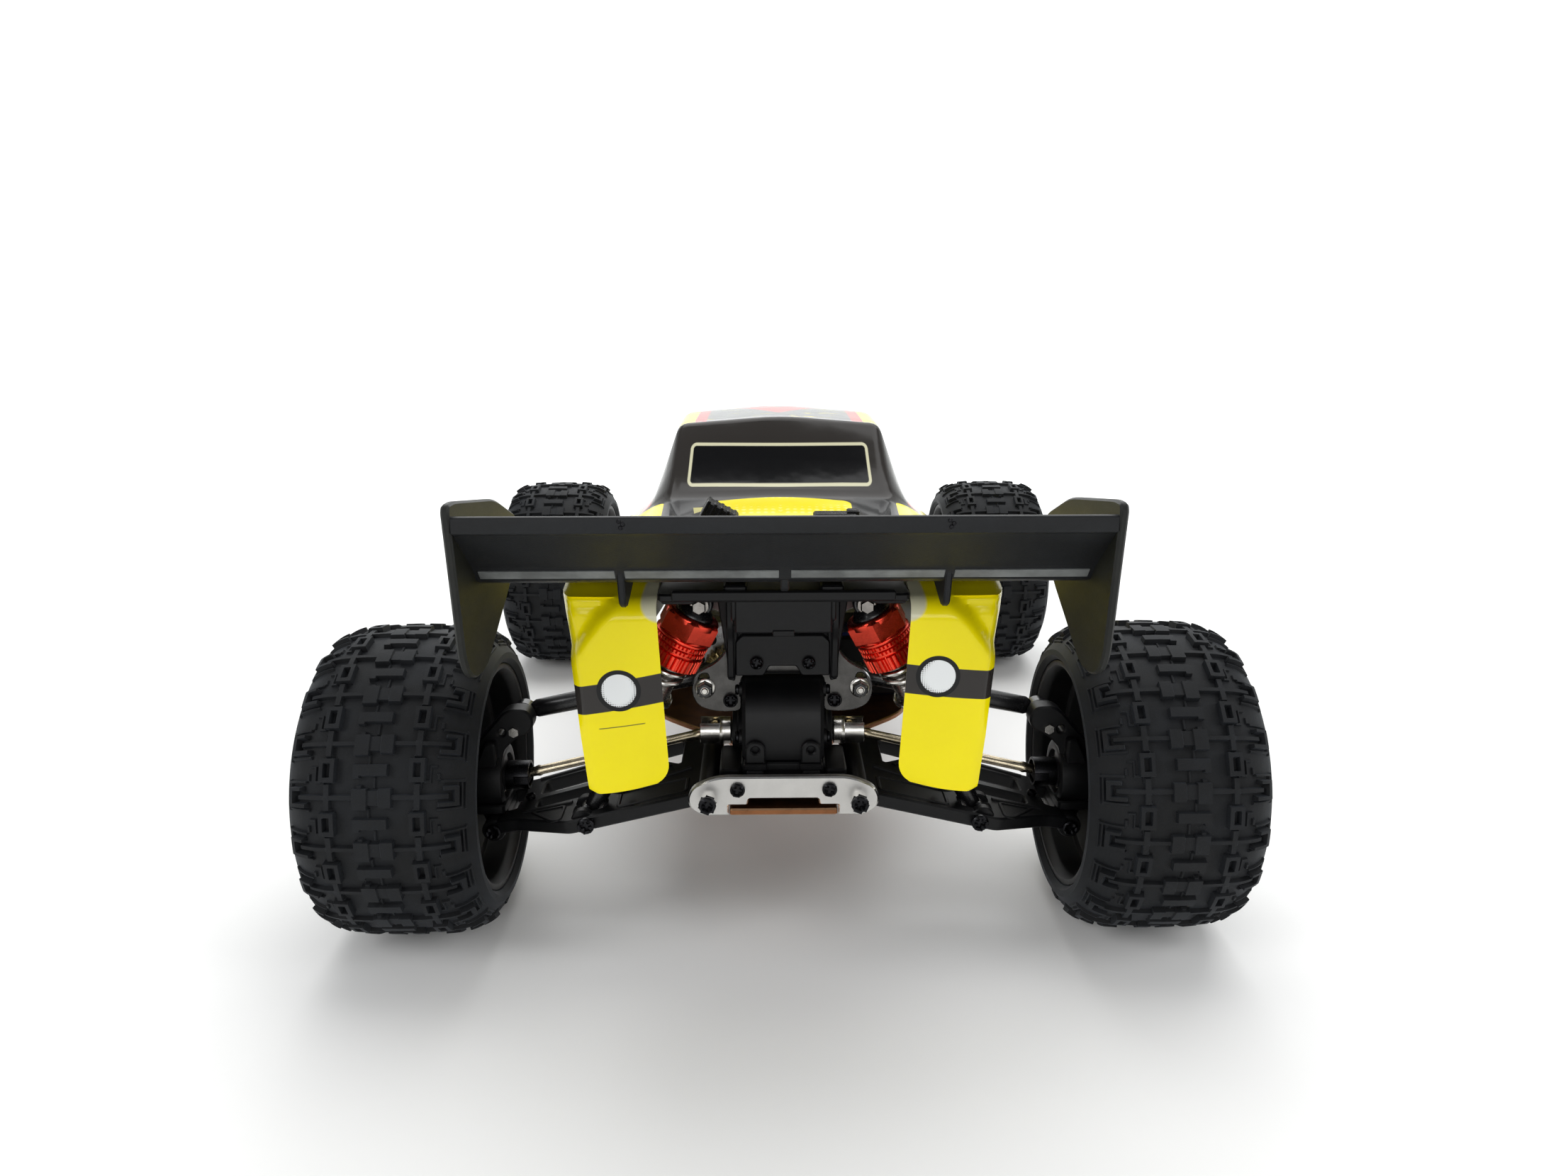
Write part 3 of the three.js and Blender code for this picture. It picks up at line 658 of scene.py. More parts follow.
# the outer face: rings whose depth follows raised, tapering spokes between a hub and the barrel
def rimFace():
    radius = np.concatenate([[6.2, 7.0], np.linspace(8.6, 27.2, 12), [28.4]])[:, None]
    count = rimSet["spokes"] * 16
    angle = (np.arange(count) / count * turn)[None, :]
    width = 0.42 - 0.012 * (radius - 8)
    swing = np.abs((angle * rimSet["spokes"] / turn + 0.5) % 1 - 0.5)
    spoke = np.clip((width / 2 + 0.11 - swing) / 0.05, 0, 1)
    spoke = np.where(radius < 9, 1, spoke)
    depth = rimSet["face"] + spoke * (2.6 + 0.05 * (radius - 8)) + 0 * angle
    depth = np.where(radius > 27, rimSet["face"] + 0.4, depth)
    front = np.stack([depth, radius * np.cos(angle), radius * np.sin(angle)], -1)
    back = front[[-1, 0]] * (0, 1, 1) + (rimSet["face"] - 0.8, 0, 0)
    grid = np.concatenate([front, back])
    return gridShape(grid, closeRows=True, closeCols=True).outward()


# a shape turned round Z, with its axis swung onto X
def alongX(shape):
    x, y, z = shape.points.T
    return Shape(np.stack([z, x, y], -1), shape.faces)


# the barrel, the face, the hub and six pegs round it
def rimShape():
    barrel = alongX(rimBarrel())
    hub = alongX(turned([(116, 10.4), (118, 8.2), (124.2, 8.0), (124.2, 3.2)], 32, ease=0.5))
    pegs = joined(alongX(turned([(124.0, 0.9), (124.7, 0.9)], 10)).at(0, 6 * math.cos(a), 6 * math.sin(a))
                   for a in np.arange(6) / 6 * turn)
    return barrel + rimFace() + hub + pegs


# the drive hexagon, the stub axle with its cup, the cross pin and the wheel nut
def axleShape(cup):
    hexagon = alongX(turned([(96.6, 6.2), (97.8, 6.8), (101, 6.8)], 6, ease=0.4))
    stub = alongX(turned([(cup + 4.2, 2.4), (127.0, 2.4), (127.6, 1.8)], 20))
    thread = alongX(turned(screwThread(124.2, 127.2, 2.35, 0.5), 20))
    cupPart = alongX(turned([(cup - 3, 3.7), (cup - 3, 4.5), (cup + 4.4, 4.5), (cup + 5.2, 3.2),
                             (cup + 4.2, 1.2),
                             (cup + 4.0, 3.7)], 28, ring=True, ease=0.15, finish=1))
    slots = roundedBlock((cup - 3.2, cup + 1.4), (-4.65, 4.65), (-1.25, 1.25), 0.3, 0.1, finish=1)
    nut = alongX(turned([(124.2, 4.6), (124.9, 4.6), (125.1, 3.6), (127.0, 3.4)], 6, ease=0.2))
    collar = alongX(turned([(124.2, 5.2), (124.9, 5.0)], 28))
    return hexagon + stub + thread + cupPart + slots + nut + collar


# a screw thread as rings: the radius falls by two fifths of the pitch between crests
def screwThread(start, end, radius, pitch):
    count = max(2, int((end - start) / pitch))
    s = np.linspace(start, end, 2 * count + 1)
    return np.stack([s, radius - np.where(np.arange(len(s)) % 2, pitch * 0.4, 0)], -1)


tyreMiddle = (boxOf("rear_right_tyre")[0][0] + boxOf("rear_right_tyre")[1][0]) / 2
for end in ends:
    cup = boxOf(f"{end}_right_rim")[0][0] + 3.7
    for side in sides:
        body = f"{end}_{side}_wheel"
        placed = inCorner(tyreShape().at(tyreMiddle, 0, axleHeight), end, side)
        piece(f"{end}_{side}_treadTyre", placed, ["rubber"], body, [f"{end}_{side}_tyre"])
        placed = inCorner(rimShape().at(0, 0, axleHeight), end, side)
        piece(f"{end}_{side}_dishRim", placed, ["nylon"], body, [f"{end}_{side}_rim"])
        placed = inCorner(axleShape(cup).at(0, 0, axleHeight), end, side)
        piece(f"{end}_{side}_stubAxle", placed, ["darkSteel", "blackScrew"], body)
print("wheels made")


# suspension geometry, drawn with x outwards and y away from the car's middle
hinge = {"arm": (22.2, 50.5), "droop": math.radians(13.75), "link": (23.5, 78.5), "linkPlane": -4.0,
         "shockTop": (23.5, 108.0), "shockFoot": (57.5, 43.0), "shockPlane": 17.6, "ball": 20.7,
         "ballHeight": 61.6}
corner = {
    "rear": {"hub": 88.0, "linkEnd": (80.0, 66.8), "drive": 81.6},
    "front": {"hub": 78.0, "linkEnd": (79.0, 69.5), "drive": 85.5},
}


# where the upper link meets the hub
def linkBall(end):
    x, z = corner[end]["linkEnd"]
    return x, hinge["linkPlane"], z


# height of the arm's sloping centre line at x
def hubHeight(x):
    return hinge["arm"][1] - (x - hinge["arm"][0]) * math.tan(hinge["droop"])


# turned about the Y axis so that its X runs out and down at the arm's droop, then set on the inner pin
def onArm(shape):
    c, s = math.cos(hinge["droop"]), math.sin(hinge["droop"])
    x, y, z = shape.points.T
    pinX, pinZ = hinge["arm"]
    return Shape(np.stack([pinX + c * x + s * z, y, pinZ - s * x + c * z], -1), shape.faces)


# a round bar along Y with chamfered ends
def barY(radius, near, far, x=0.0, z=0.0, count=28, finish=0, ease=0.3):
    bar = turned([(near, radius), (far, radius)], count, finish=finish)
    if ease:
        bar = turned([(near, radius - ease), (near + ease, radius), (far - ease, radius),
                      (far, radius - ease)],
                     count, finish=finish)
    u, v, w = bar.points.T
    return Shape(np.stack([x + v, w, z + u], -1), bar.faces)


armSet = {"thick": 5.0, "boss": 3.55, "lug": (37.5, 1.4)}


# a truss arm: a plate with windows, shallow trays, ribs, round pin bosses and the shock's lugs
def armShape(length):
    half, boss = armSet["thick"] / 2, armSet["boss"]
    outline = [(0, -19.8), (7, -19.6), (30, -16.8), (length - 11, -12.9), (length, -12.9), (length, -6.7),
               (length - 7.4, -6.7), (length - 7.4, 6.7), (length, 6.7), (length, 12.9), (length - 8, 14.4),
               (42, 24.6), (0, 25.3)]
    window = [(30.4, 14.9), (40.3, 14.9), (40.3, 20.3), (30.4, 20.3)]
    back = [(9, -15), (25, -13.6), (9, 1.5)]
    middle = [(29.5, -11.4), (length - 13.5, -9), (length - 13.5, 0.4), (21, -2.4)]
    outer = [(25, 8.6), (28, 2.2), (length - 13.5, 3.6), (length - 13.5, 9.3)]
    smooth = [eased(hole, 1.6, 3, True) for hole in (window, back, middle, outer)]
    body = plate(outline, 1.1 - half, half + 0.4, chamfer=0.5, holes=smooth, ease=1.8)
    # shallow trays sunk in the top: their floors stay dark between raised ribs
    trays = []
    for tray in ([(5, 13), (27, 13), (27, 23), (5, 23)],
                 [(43.5, 13), (length - 12, 12.2), (47, 22.4), (43.5, 22.8)]):
        ring = eased(tray, 1.6, 3, True)
        trays.append(plate(ring, half - 0.1, half + 0.75, chamfer=0.3,
                           holes=[inset(counterclockwise(ring), 1.2)]))
    ribs = [carried([(s, y0, half + 0.2), (e, y1, half + 0.2)], rectangle(1.3, 1.6, 0.3))
            for s, y0, e, y1 in ((4, -17.6, 29, -14.6), (29, -14.6, length - 11, -10.9), (5, 7, 28, 11.6),
                                 (42, 12.2, length - 10, 11.4), (12, 2.5, 26, -12.5))]
    bosses = [barY(boss, -20, 25.5), barY(boss, -13, -6.6, length), barY(boss, 6.6, 13, length)]
    lugs = [barY(3.4, near, far, *armSet["lug"]) for near, far in ((11.6, 14.6), (20.6, 23.4))]
    return joined([body] + trays + ribs + bosses + lugs)


# screws of the arm: the shock's lower screw, the droop screw and the outer pin
def armMetal(length):
    footX = math.hypot(hinge["shockFoot"][0] - hinge["arm"][0], hinge["shockFoot"][1] - hinge["arm"][1])
    drop = math.atan2(hinge["arm"][1] - hinge["shockFoot"][1], hinge["shockFoot"][0] - hinge["arm"][0])
    x = footX * math.cos(drop - hinge["droop"])
    z = footX * math.sin(hinge["droop"] - drop)
    away, towards = (0, 1, 0), (0, -1, 0)
    parts = [
        screwHead(2.5, 2.0).aimed((x, 25.3, z), away),
        barY(1.4, 12, 25.4, x, z, 16),
        lockNut(4.8, 2.4, 1, 0).aimed((x, 11.6, z), towards),
        screwHead(2.3, 1.7).aimed((length, 12.9, 0), away),
        barY(1.5, -14.6, 13.2, length, 0, 16, 1),
        screwHead(1.5, 1.2, "hex").aimed((length - 10.6, 2, 3.2), (0, 0, 1), (1, 0, 0)),
        turned([(-1, 1.3), (3.3, 1.3)], 14).at(length - 10.6, 2, 0),
    ]
    return joined(parts)


# a turned profile aimed from one point to another
def rodBetween(start, finish, profile, count=24, tone=0, wave=None):
    start, finish = np.array(start, float), np.array(finish, float)
    rod = turned(profile, count, finish=tone, wave=wave)
    return rod.aimed(start, finish - start, (0, 1, 0))


# a turnbuckle: a steel rod with a threaded stretch, a hexagon in the middle and two moulded ball cups
def linkShape(start, finish):
    start, finish = np.array(start, float), np.array(finish, float)
    length = np.linalg.norm(finish - start)
    steel = rodBetween(start, finish, screwThread(length * 0.22, length * 0.8, 1.5, 0.55), 14, 1)
    hexagon = rodBetween(start, finish, [(length * 0.43, 2.0), (length * 0.5, 2.0)], 6, 1)
    shapes = [steel, hexagon]
    for origin, target in ((start, finish), (finish, start)):
        sleeve = [(2.2, 1.9), (4.2, 2.8), (length * 0.34, 2.9), (length * 0.345, 2.5)]
        shapes.append(rodBetween(origin, target, sleeve, 20, 0))
        eye = plate(circle(3.3, 28), -2.5, 2.5, chamfer=0.7, holes=[circle(1.9, 20)])
        shapes.append(eye.aimed(origin, (0, 1, 0)))
        ball = turned([(-1.9, 0.9), (-1.5, 1.5), (-0.8, 1.95), (0, 2.1), (0.8, 1.95), (1.5, 1.5), (1.9, 0.9)],
                      18, finish=1)
        shapes.append(ball.aimed(origin, (0, 1, 0)))
    return joined(shapes)


# the swinging half shaft: a rod with a ball and a cross pin at each end
def shaftShape(start, finish):
    start, finish = np.array(start, float), np.array(finish, float)
    length = np.linalg.norm(finish - start)
    s = np.linspace(-0.93, 0.93, 9) * math.pi / 2
    rod = [(0, 1.45), (5, 1.5), (6, 1.75), (7, 1.45), (length - 7, 1.45), (length - 6, 1.75),
           (length - 5, 1.5),
           (length, 1.45)]
    shapes = [rodBetween(start, finish, rod, 18)]
    for origin in (start, finish):
        ball = turned(np.stack([2.85 * np.sin(s), 2.85 * np.cos(s)], -1), 20)
        pin = turned([(-3.2, 0.85), (-3.0, 1.0), (3.0, 1.0), (3.2, 0.85)], 14, finish=1)
        shapes += [ball.at(*origin), pin.aimed(origin, (0, 0.35, 1), (1, 0, 0))]
    return joined(shapes)


cupSet = {"radius": 4.2, "bore": 3.35, "slot": 1.35, "start": (15.8, 0, 0)}


# the slotted cup at the gearbox: a floor, and two walls whose ends leave the slots between them
def outdriveShape():
    radius, bore, slot, start = cupSet.values()
    a = np.linspace(math.asin(slot / radius), math.pi - math.asin(slot / radius), 18)
    b = np.linspace(math.pi - math.asin(slot / bore), math.asin(slot / bore), 18)
    half = np.vstack([np.stack([r * np.cos(angle), r * np.sin(angle)], -1)
                      for r, angle in ((radius, a), (bore, b))])
    floor = plate(circle(radius, 48), 0, 1.9, chamfer=0.15, holes=[circle(1.0, 12)])
    shapes = [floor.aimed(start, (1, 0, 0), (0, 0, 1))]
    for sign in (1, -1):
        shapes.append(plate(half * sign, 1.4, 9.4, chamfer=0.14).aimed(start, (1, 0, 0), (0, 0.35, 1)))
    shapes.append(turned([(1.7, 3.5), (1.8, 4.32), (3.2, 4.32), (3.4, 4.2)], 40).aimed(start, (1, 0, 0)))
    return joined(shapes).at(0, 0, hinge["ballHeight"])


# shocks, drawn down their own axis from the top eye and turned into place
shockSet = {"capFlats": 6, "coils": 6.2, "wire": 0.72, "flatPart": 0.16, "springRadius": 5.65,
            "springTop": 20.4,
            "springFoot": 59.8, "length": math.hypot(34, 65)}


# drawn along Z from the shock's eye, then aimed down the shock's own line
def onShock(shape):
    x0, z0 = hinge["shockTop"]
    dx, dz = hinge["shockFoot"][0] - x0, hinge["shockFoot"][1] - z0
    down = unit((dx, 0, dz))
    across = np.cross((0, 1, 0), down)
    axes = np.stack([across, np.array([0, 1, 0]), down])
    return Shape(shape.points @ axes + (x0, hinge["shockPlane"], z0), shape.faces)


# the radius falls by depth over half of every tooth between start and stop
def knurl(count, depth, start, stop):
    def wave(height, angle):
        ridge = np.abs((angle * count / turn) % 1 - 0.5) * 2
        return -depth * (ridge > 0.5) * ((height > start) & (height < stop))
    return wave


# an eye whose hole runs along Y
def shockEye(radius, thick, hole):
    eye = plate(circle(radius, 28), -thick, thick, chamfer=0.5, holes=[circle(hole, 16)], finish=1)
    return Shape(eye.points[:, [0, 2, 1]], eye.faces).flipped()


# head, eye, cap, collars and can, one below the other
def shockBodyParts():
    head = turned([(0.4, 2.8), (1.4, 4.6), (3.2, 5.7), (6, 6)], 32, finish=1, ease=0.4)
    eye = shockEye(3.9, 2.3, 1.5)
    neck = roundedBlock((-3.3, 3.3), (-2.2, 2.2), (0.5, 4.5), 0.8, 0.4, finish=1)
    # red cap: round lip, then flats, then two narrow knurled rings and the wide collar
    lip = turned([(3.4, 6.1), (3.4, 7.5), (4.1, 8.0), (5.6, 8.0), (5.6, 6.1)], 48, ring=True, ease=0.25)
    flats = turned([(3.7, 8.2), (4.5, 8.9), (9.6, 8.9), (10.4, 8.2)], shockSet["capFlats"], ease=0.15,
                   phase=0.4)
    core = turned([(4.2, 7.7), (11.2, 7.7)], 48)
    step = turned([(10.2, 7.4), (10.4, 8.2), (11.0, 8.2), (11.2, 7.4)], 48, ease=0.1)
    shapes = [head, eye, neck, lip, flats, core, step]
    for start, stop, radius, teeth in ((11.2, 12.6, 8.2, 44), (12.9, 14.3, 8.2, 44), (14.9, 19.2, 8.4, 38)):
        profile = [(start, radius - 0.7), (start + 0.25, radius), (stop - 0.25, radius), (stop, radius - 0.7)]
        shapes.append(turned(profile, teeth * 4, wave=knurl(teeth, 0.5, start + 0.1, stop - 0.1)))
    shapes.append(turned([(11, 7.4), (19.4, 7.4), (19.9, 6.4)], 40))
    # threaded silver can and the gland at its foot
    shapes.append(turned([(19, 5.2), (20.6, 5.2), (21.2, 4.8)], 36, finish=2))
    shapes.append(turned(screwThread(21, 40, 4.75, 0.75), 36, finish=2))
    shapes.append(turned([(40, 4.3), (44, 4.3), (44.4, 4.6), (46, 4.6), (46.4, 3.2)], 36, finish=2, ease=0.2))
    return joined(shapes)


# the rod, the spring's lower seat and the foot's eye
def shockRodParts():
    rod = turned([(38, 1.5), (64, 1.5)], 20)
    seat = turned([(59.9, 4.9), (59.9, 6.5), (60.6, 7.0), (61.6, 7.0), (62.0, 6.4), (62.4, 3.2), (65, 2.9),
                   (70, 2.7), (71.5, 2.5)], 36, finish=1, ease=0.25)
    return rod + seat + shockEye(3.3, 2.4, 1.3).at(0, 0, shockSet["length"])


# the coil: a circle carried along a helix whose two end turns lie flat
def springShape():
    s = shockSet
    count = int(s["coils"] * 34)
    t = np.linspace(0, 1, count)
    flatPart = s["flatPart"]
    rise = np.clip((t - flatPart) / (1 - 2 * flatPart), 0, 1)
    flatTop = np.minimum(t, flatPart) / flatPart * 1.5
    flatFoot = np.maximum(t - (1 - flatPart), 0) / flatPart * 1.5
    z = s["springTop"] + 0.8 + flatTop + rise * (s["springFoot"] - s["springTop"] - 4.6) + flatFoot
    a = t * s["coils"] * turn
    path = np.stack([s["springRadius"] * np.cos(a), s["springRadius"] * np.sin(a), z], -1)
    return carried(path, circle(s["wire"], 9))


# the pivot through the top eye: screw, washer, nut and spacer
def shockScrews():
    x, z = hinge["shockTop"]
    y = hinge["shockPlane"]
    parts = [barY(1.5, -8, 2.6, x, z, 16, 0).at(0, y),
             turned([(0, 2.9), (0.7, 2.9), (1.0, 2.5), (1.0, 1.2)], 28, ease=0.12).aimed((x, y + 2.4, z),
                                                                                         (0, 1, 0)),
             turned([(0.9, 2.1), (3.1, 2.1), (3.4, 1.8)], 6, ease=0.1).aimed((x, y + 2.4, z), (0, 1, 0)),
             barY(2.75, -7.6, -2.45, x, z, 24, 1).at(0, y)]
    return joined(parts)


for end, facts in corner.items():
    hubX = facts["hub"]
    armLength = (hubX - hinge["arm"][0]) / math.cos(hinge["droop"])
    linkStart = (hinge["link"][0], hinge["linkPlane"], hinge["link"][1])
    innerBall = (hinge["ball"], 0, hinge["ballHeight"])
    outerBall = (facts["drive"], 0, axleHeight)
    for side in sides:
        name = f"{end}_{side}_"

        def put(part, shape, finishes, body, nodes=(), sharp=32):
            piece(name + part, inCorner(shape, end, side), finishes, name + body,
                  [name + node for node in nodes], sharp)

        put("trussArm", onArm(armShape(armLength)), ["nylon"], "arm", ["arm"])
        put("armScrews", onArm(armMetal(armLength)), ["blackScrew", "steel"], "arm")
        put("turnbuckle", linkShape(linkStart, linkBall(end)), ["nylonGloss", "steel"], "camber_link",
            ["camber_link"])
        put("halfShaft", shaftShape(innerBall, outerBall), ["shaft", "brass"], "drive_shaft",
            ["drive_shaft"])
        put("damper", onShock(shockBodyParts()), ["red", "nylonGloss", "darkSteel"], "shock_body",
            ["shock_body"], 24)
        put("damperRod", onShock(shockRodParts()), ["steel", "nylonGloss"], "shock_rod",
            ["shock_rod"])
        coil = inCorner(onShock(springShape()), end, side)
        spring = piece(name + "coilSpring", coil, ["steel"], name + "shock_body",
                       [name + "shock_spring"])
        top = inCorner(onShock(Shape([(0, 0, shockSet["springTop"]), (0, 0, shockSet["springFoot"])], [])),
                       end, side)
        spring.parent = None
        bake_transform(spring)
        screws = inCorner(shockScrews(), end, side)
        piece(name + "shockPivot", screws, ["darkSteel", "graphiteEdge"], "chassis")
    print(end, "suspension made")

for side in sides:
    placed = inCorner(outdriveShape(), "rear", side)
    piece(f"rear_{side}_slottedCup", placed, ["steel"], f"rear_{side}_outdrive",
          [f"rear_{side}_outdrive"])


# gearboxes: y is the distance away from the car's middle
gearboxSet = {"half": 12.0, "split": 60.0, "bossX": 8.1, "bossZ": 64.0, "foot": 49.4}


# two eased halves, their flanges, bosses, bearing housings and the pin holder
def gearboxShape():
    g = gearboxSet
    upper = [(-18.8, g["split"] + 0.15), (20, g["split"] + 0.15), (20, 71), (17.2, 78.6), (10, 82.4),
             (1, 83.5), (-8, 82.4), (-15, 79.6), (-18.8, 71)]
    lower = [(-19, g["foot"]), (19.4, g["foot"]), (20.3, 54), (20.3, g["split"] - 0.15),
             (-19, g["split"] - 0.15)]
    shapes = [
        plateYZ(upper, -g["half"], g["half"], chamfer=1.1, ease=(0.5, 0.5, 6, 6, 6, 6, 6, 6, 6), steps=5),
        plateYZ(lower, -g["half"] - 0.4, g["half"] + 0.4, chamfer=0.6, ease=1.2),
        plateYZ(inset(counterclockwise(upper), 1.6), -11.6, 11.6, chamfer=0.2, ease=4, steps=4),
    ]
    for side in (-1, 1):
        x = g["bossX"] * side
        top = [(x + 2.9 * math.cos(a), g["bossZ"] + 2.9 * math.sin(a)) for a in np.linspace(0, math.pi, 13)]
        tab = [(x - 2.9, g["split"] + 0.1), (x + 2.9, g["split"] + 0.1)] + top
        shapes.append(plateXZ(tab, 17, 21.8, chamfer=0.4, holes=[circle(1.15, 18, (x, g["bossZ"] + 0.2))]))
        shapes.append(roundedBlock((x - 3.4, x + 3.4), (17, 22.9), (58.4, 60.3), 0.6, 0.35))
        shapes.append(roundedBlock((x - 2.5, x + 2.5), (17, 24.4), (51, 58.8), 0.6, 0.4))
        shapes.append(roundedBlock((x - 3.4, x + 3.4), (-19.5, -16), (56, 62.5), 0.8, 0.4))
        # bearing housing with a lip, and the case screws' bosses
        bearing = turned([(11, 7.6), (13.4, 7.6), (13.8, 7.0), (15.2, 6.8), (15.2, 5.2), (14.2, 5.2),
                          (14.2, 2)], 40,
                         ease=0.25)
        shapes.append(alongX(bearing).scaled(side).at(0, 0, hinge["ballHeight"]))
        for y, z in ((-14.5, 66), (15.6, 66), (-14.5, 55), (15.6, 55), (9, 78.5), (-9, 79)):
            boss = alongX(turned([(10.5, 2.5), (12.9, 2.3)], 20, ease=0.3)).scaled(side)
            shapes.append(boss.at(0, y, z))
    shapes.append(roundedBlock((-10.4, 10.4), (16, 25.6), (50.6, 57.6), 0.8, 0.4))
    shapes.append(roundedBlock((-17.8, 17.8), (1, 6.1), (72.4, 79.8), 1.4, 0.5))
    # the holder of the inner hinge pins, with its two pin caps
    holder = mirrored(plate([(-0.5, -22.6), (26, -22.6), (26, -20.4), (17, -20.4), (16, -18), (-0.5, -18)],
                            g["foot"], 55.8, chamfer=0.5, ease=0.8))
    cheek = roundedBlock((12.2, 18.6), (4, 22), (49.4, 58.4), 1.6, 0.5)
    holder = holder + mirrored(cheek)
    return joined(shapes) + holder


# case screws, hinge pins and the outdrives' seals
def gearboxScrews():
    heads = []
    for side in (-1, 1):
        for y, z in ((-14.5, 66), (15.6, 66), (9, 78.5), (-9, 79)):
            heads.append(screwHead(1.7, 1.3).aimed((side * 12.8, y, z), (side, 0, 0)))
        heads.append(barY(1.55, -24.6, 26, side * hinge["arm"][0], hinge["arm"][1], 18, 1))
        heads.append(screwHead(2.3, 1.6).aimed((side * hinge["arm"][0], -22.7, hinge["arm"][1]), (0, -1, 0)))
        heads.append(alongX(turned([(14.3, 3.0), (15.2, 2.8), (15.4, 1.8)], 24, finish=1)).scaled(side)
                     .at(0, 0, hinge["ballHeight"]))
    return joined(heads)


# shock tower: a dark plate with bright edges
towerSet = {"near": 6.6, "far": 9.4}


# a mirrored outline with slots and holes, raised along Y
def towerShape():
    half = [(0, 83.9), (10.2, 83.9), (12.3, 82.2), (12.3, 71.6), (20, 71.4), (25.6, 73.4), (27.4, 78.6),
            (25.4, 84), (19.4, 87), (15.9, 91.6), (15.9, 99), (18, 102.6), (22, 104.1), (26.4, 104.6),
            (28.2, 108), (26.6, 111.2), (23.5, 111.9), (14, 110.4), (0, 110.4)]
    radii = [0, 1.6, 1.6, 1.8, 4, 4, 3, 4, 3, 3, 3, 3, 2, 2.4, 2.4, 2, 2, 2, 0]
    holes = []
    for side in (-1, 1):
        slot = [(side * 21.6, 81.4), (side * 25.2, 81.4), (side * 24.4, 83.4), (side * 22.2, 83.8)]
        holes.append(eased(slot, 0.9, 3, True))
        holes.append(eased([(side * 3, 105.5), (side * 10, 105.5), (side * 10, 108), (side * 3, 108)], 1.2, 3,
                           True))
        holes += [circle(0.85, 14, (side * 19.4, 107.4)), circle(0.85, 14, (side * 15.2, 106.6))]
    outline = mirroredOutline(half, radii, 4)
    return plateXZ(outline, towerSet["near"], towerSet["far"], chamfer=0.28, holes=holes, edge=1)


# nuts, link spacers and screws on both faces of the tower
def towerMetal():
    parts = []
    for side in (-1, 1):
        x, z = hinge["link"]
        parts.append(lockNut(4.7, 3.4, 0, 2).aimed((side * (x - 0.5), towerSet["far"], z + 0.7), (0, 1, 0)))
        parts.append(barY(1.3, -7.0, 9, side * x, z, 16))
        parts.append(barY(2.2, -1.2, 6.6, side * x, z, 20))
        parts.append(screwHead(2.15, 1.5).finished(1).aimed((side * 15.5, towerSet["far"], 75.3), (0, 1, 0)))
        parts.append(screwHead(1.9, 1.4).finished(1).aimed((side * 14.6, towerSet["near"], 76), (0, -1, 0)))
        parts.append(screwHead(1.7, 1.3).finished(1).aimed((side * 7, towerSet["near"], 103), (0, -1, 0)))
    return joined(parts)


# hinge plate: satin face, bright chamfers, long pin screws and short ones
plateSet = {"near": 26.0, "far": 28.5, "pinX": 21.7, "pinZ": 52.4, "stand": 3.0}


# a mirrored outline raised along Y
def hingePlateShape():
    half = [(0, 52.2), (10.0, 52.2), (10.4, 50.2), (15.9, 50.2), (15.9, 47), (23.6, 47), (27, 49.4),
            (27.6, 52.6), (26, 56), (19.4, 59), (0, 59)]
    radii = [0, 0.6, 0.6, 0.5, 0.3, 3, 3, 3, 4, 5, 0]
    return plateXZ(mirroredOutline(half, radii, 5), plateSet["near"], plateSet["far"], chamfer=0.42, edge=1)


def hingePlateScrews():
    p = plateSet
    parts = []
    for side in (-1, 1):
        x = side * p["pinX"]
        parts.append(barY(2.05, p["near"], p["far"] + p["stand"], x, p["pinZ"], 28, 1, 0.1))
        parts.append(screwHead(2.5, 2.3, round=0.34).aimed((x, p["far"] + p["stand"] - 0.2, p["pinZ"]),
                                                           (0, 1, 0), (0.4, 0, 1)))
        parts.append(screwHead(2.15, 1.3, round=0.4).aimed((side * 13.2, p["far"], 55.3), (0, 1, 0),
                                                           (0.2, 0, 1)))
    return joined(parts)


for end in ends:
    piece(f"{end}_gearCase", atEnd(gearboxShape(), end), ["nylon"], "chassis", [f"{end}_gearbox"],
          26)
    piece(f"{end}_gearScrews", atEnd(gearboxScrews(), end), ["blackScrew", "steel"], "chassis")
    piece(f"{end}_towerPlate", atEnd(towerShape(), end), ["graphite", "graphiteEdge"], "chassis",
          [f"{end}_shock_tower"])
    piece(f"{end}_towerMetal", atEnd(towerMetal(), end), ["steel", "blackScrew", "nylonGloss"],
          "chassis")
piece("rear_pinPlate", atEnd(hingePlateShape(), "rear"), ["satin", "satinEdge"], "chassis",
      ["rear_hinge_plate"])
piece("rear_pinScrews", atEnd(hingePlateScrews(), "rear"), ["blackScrew", "satinEdge"], "chassis")
print("gearboxes, towers and hinge plate made")


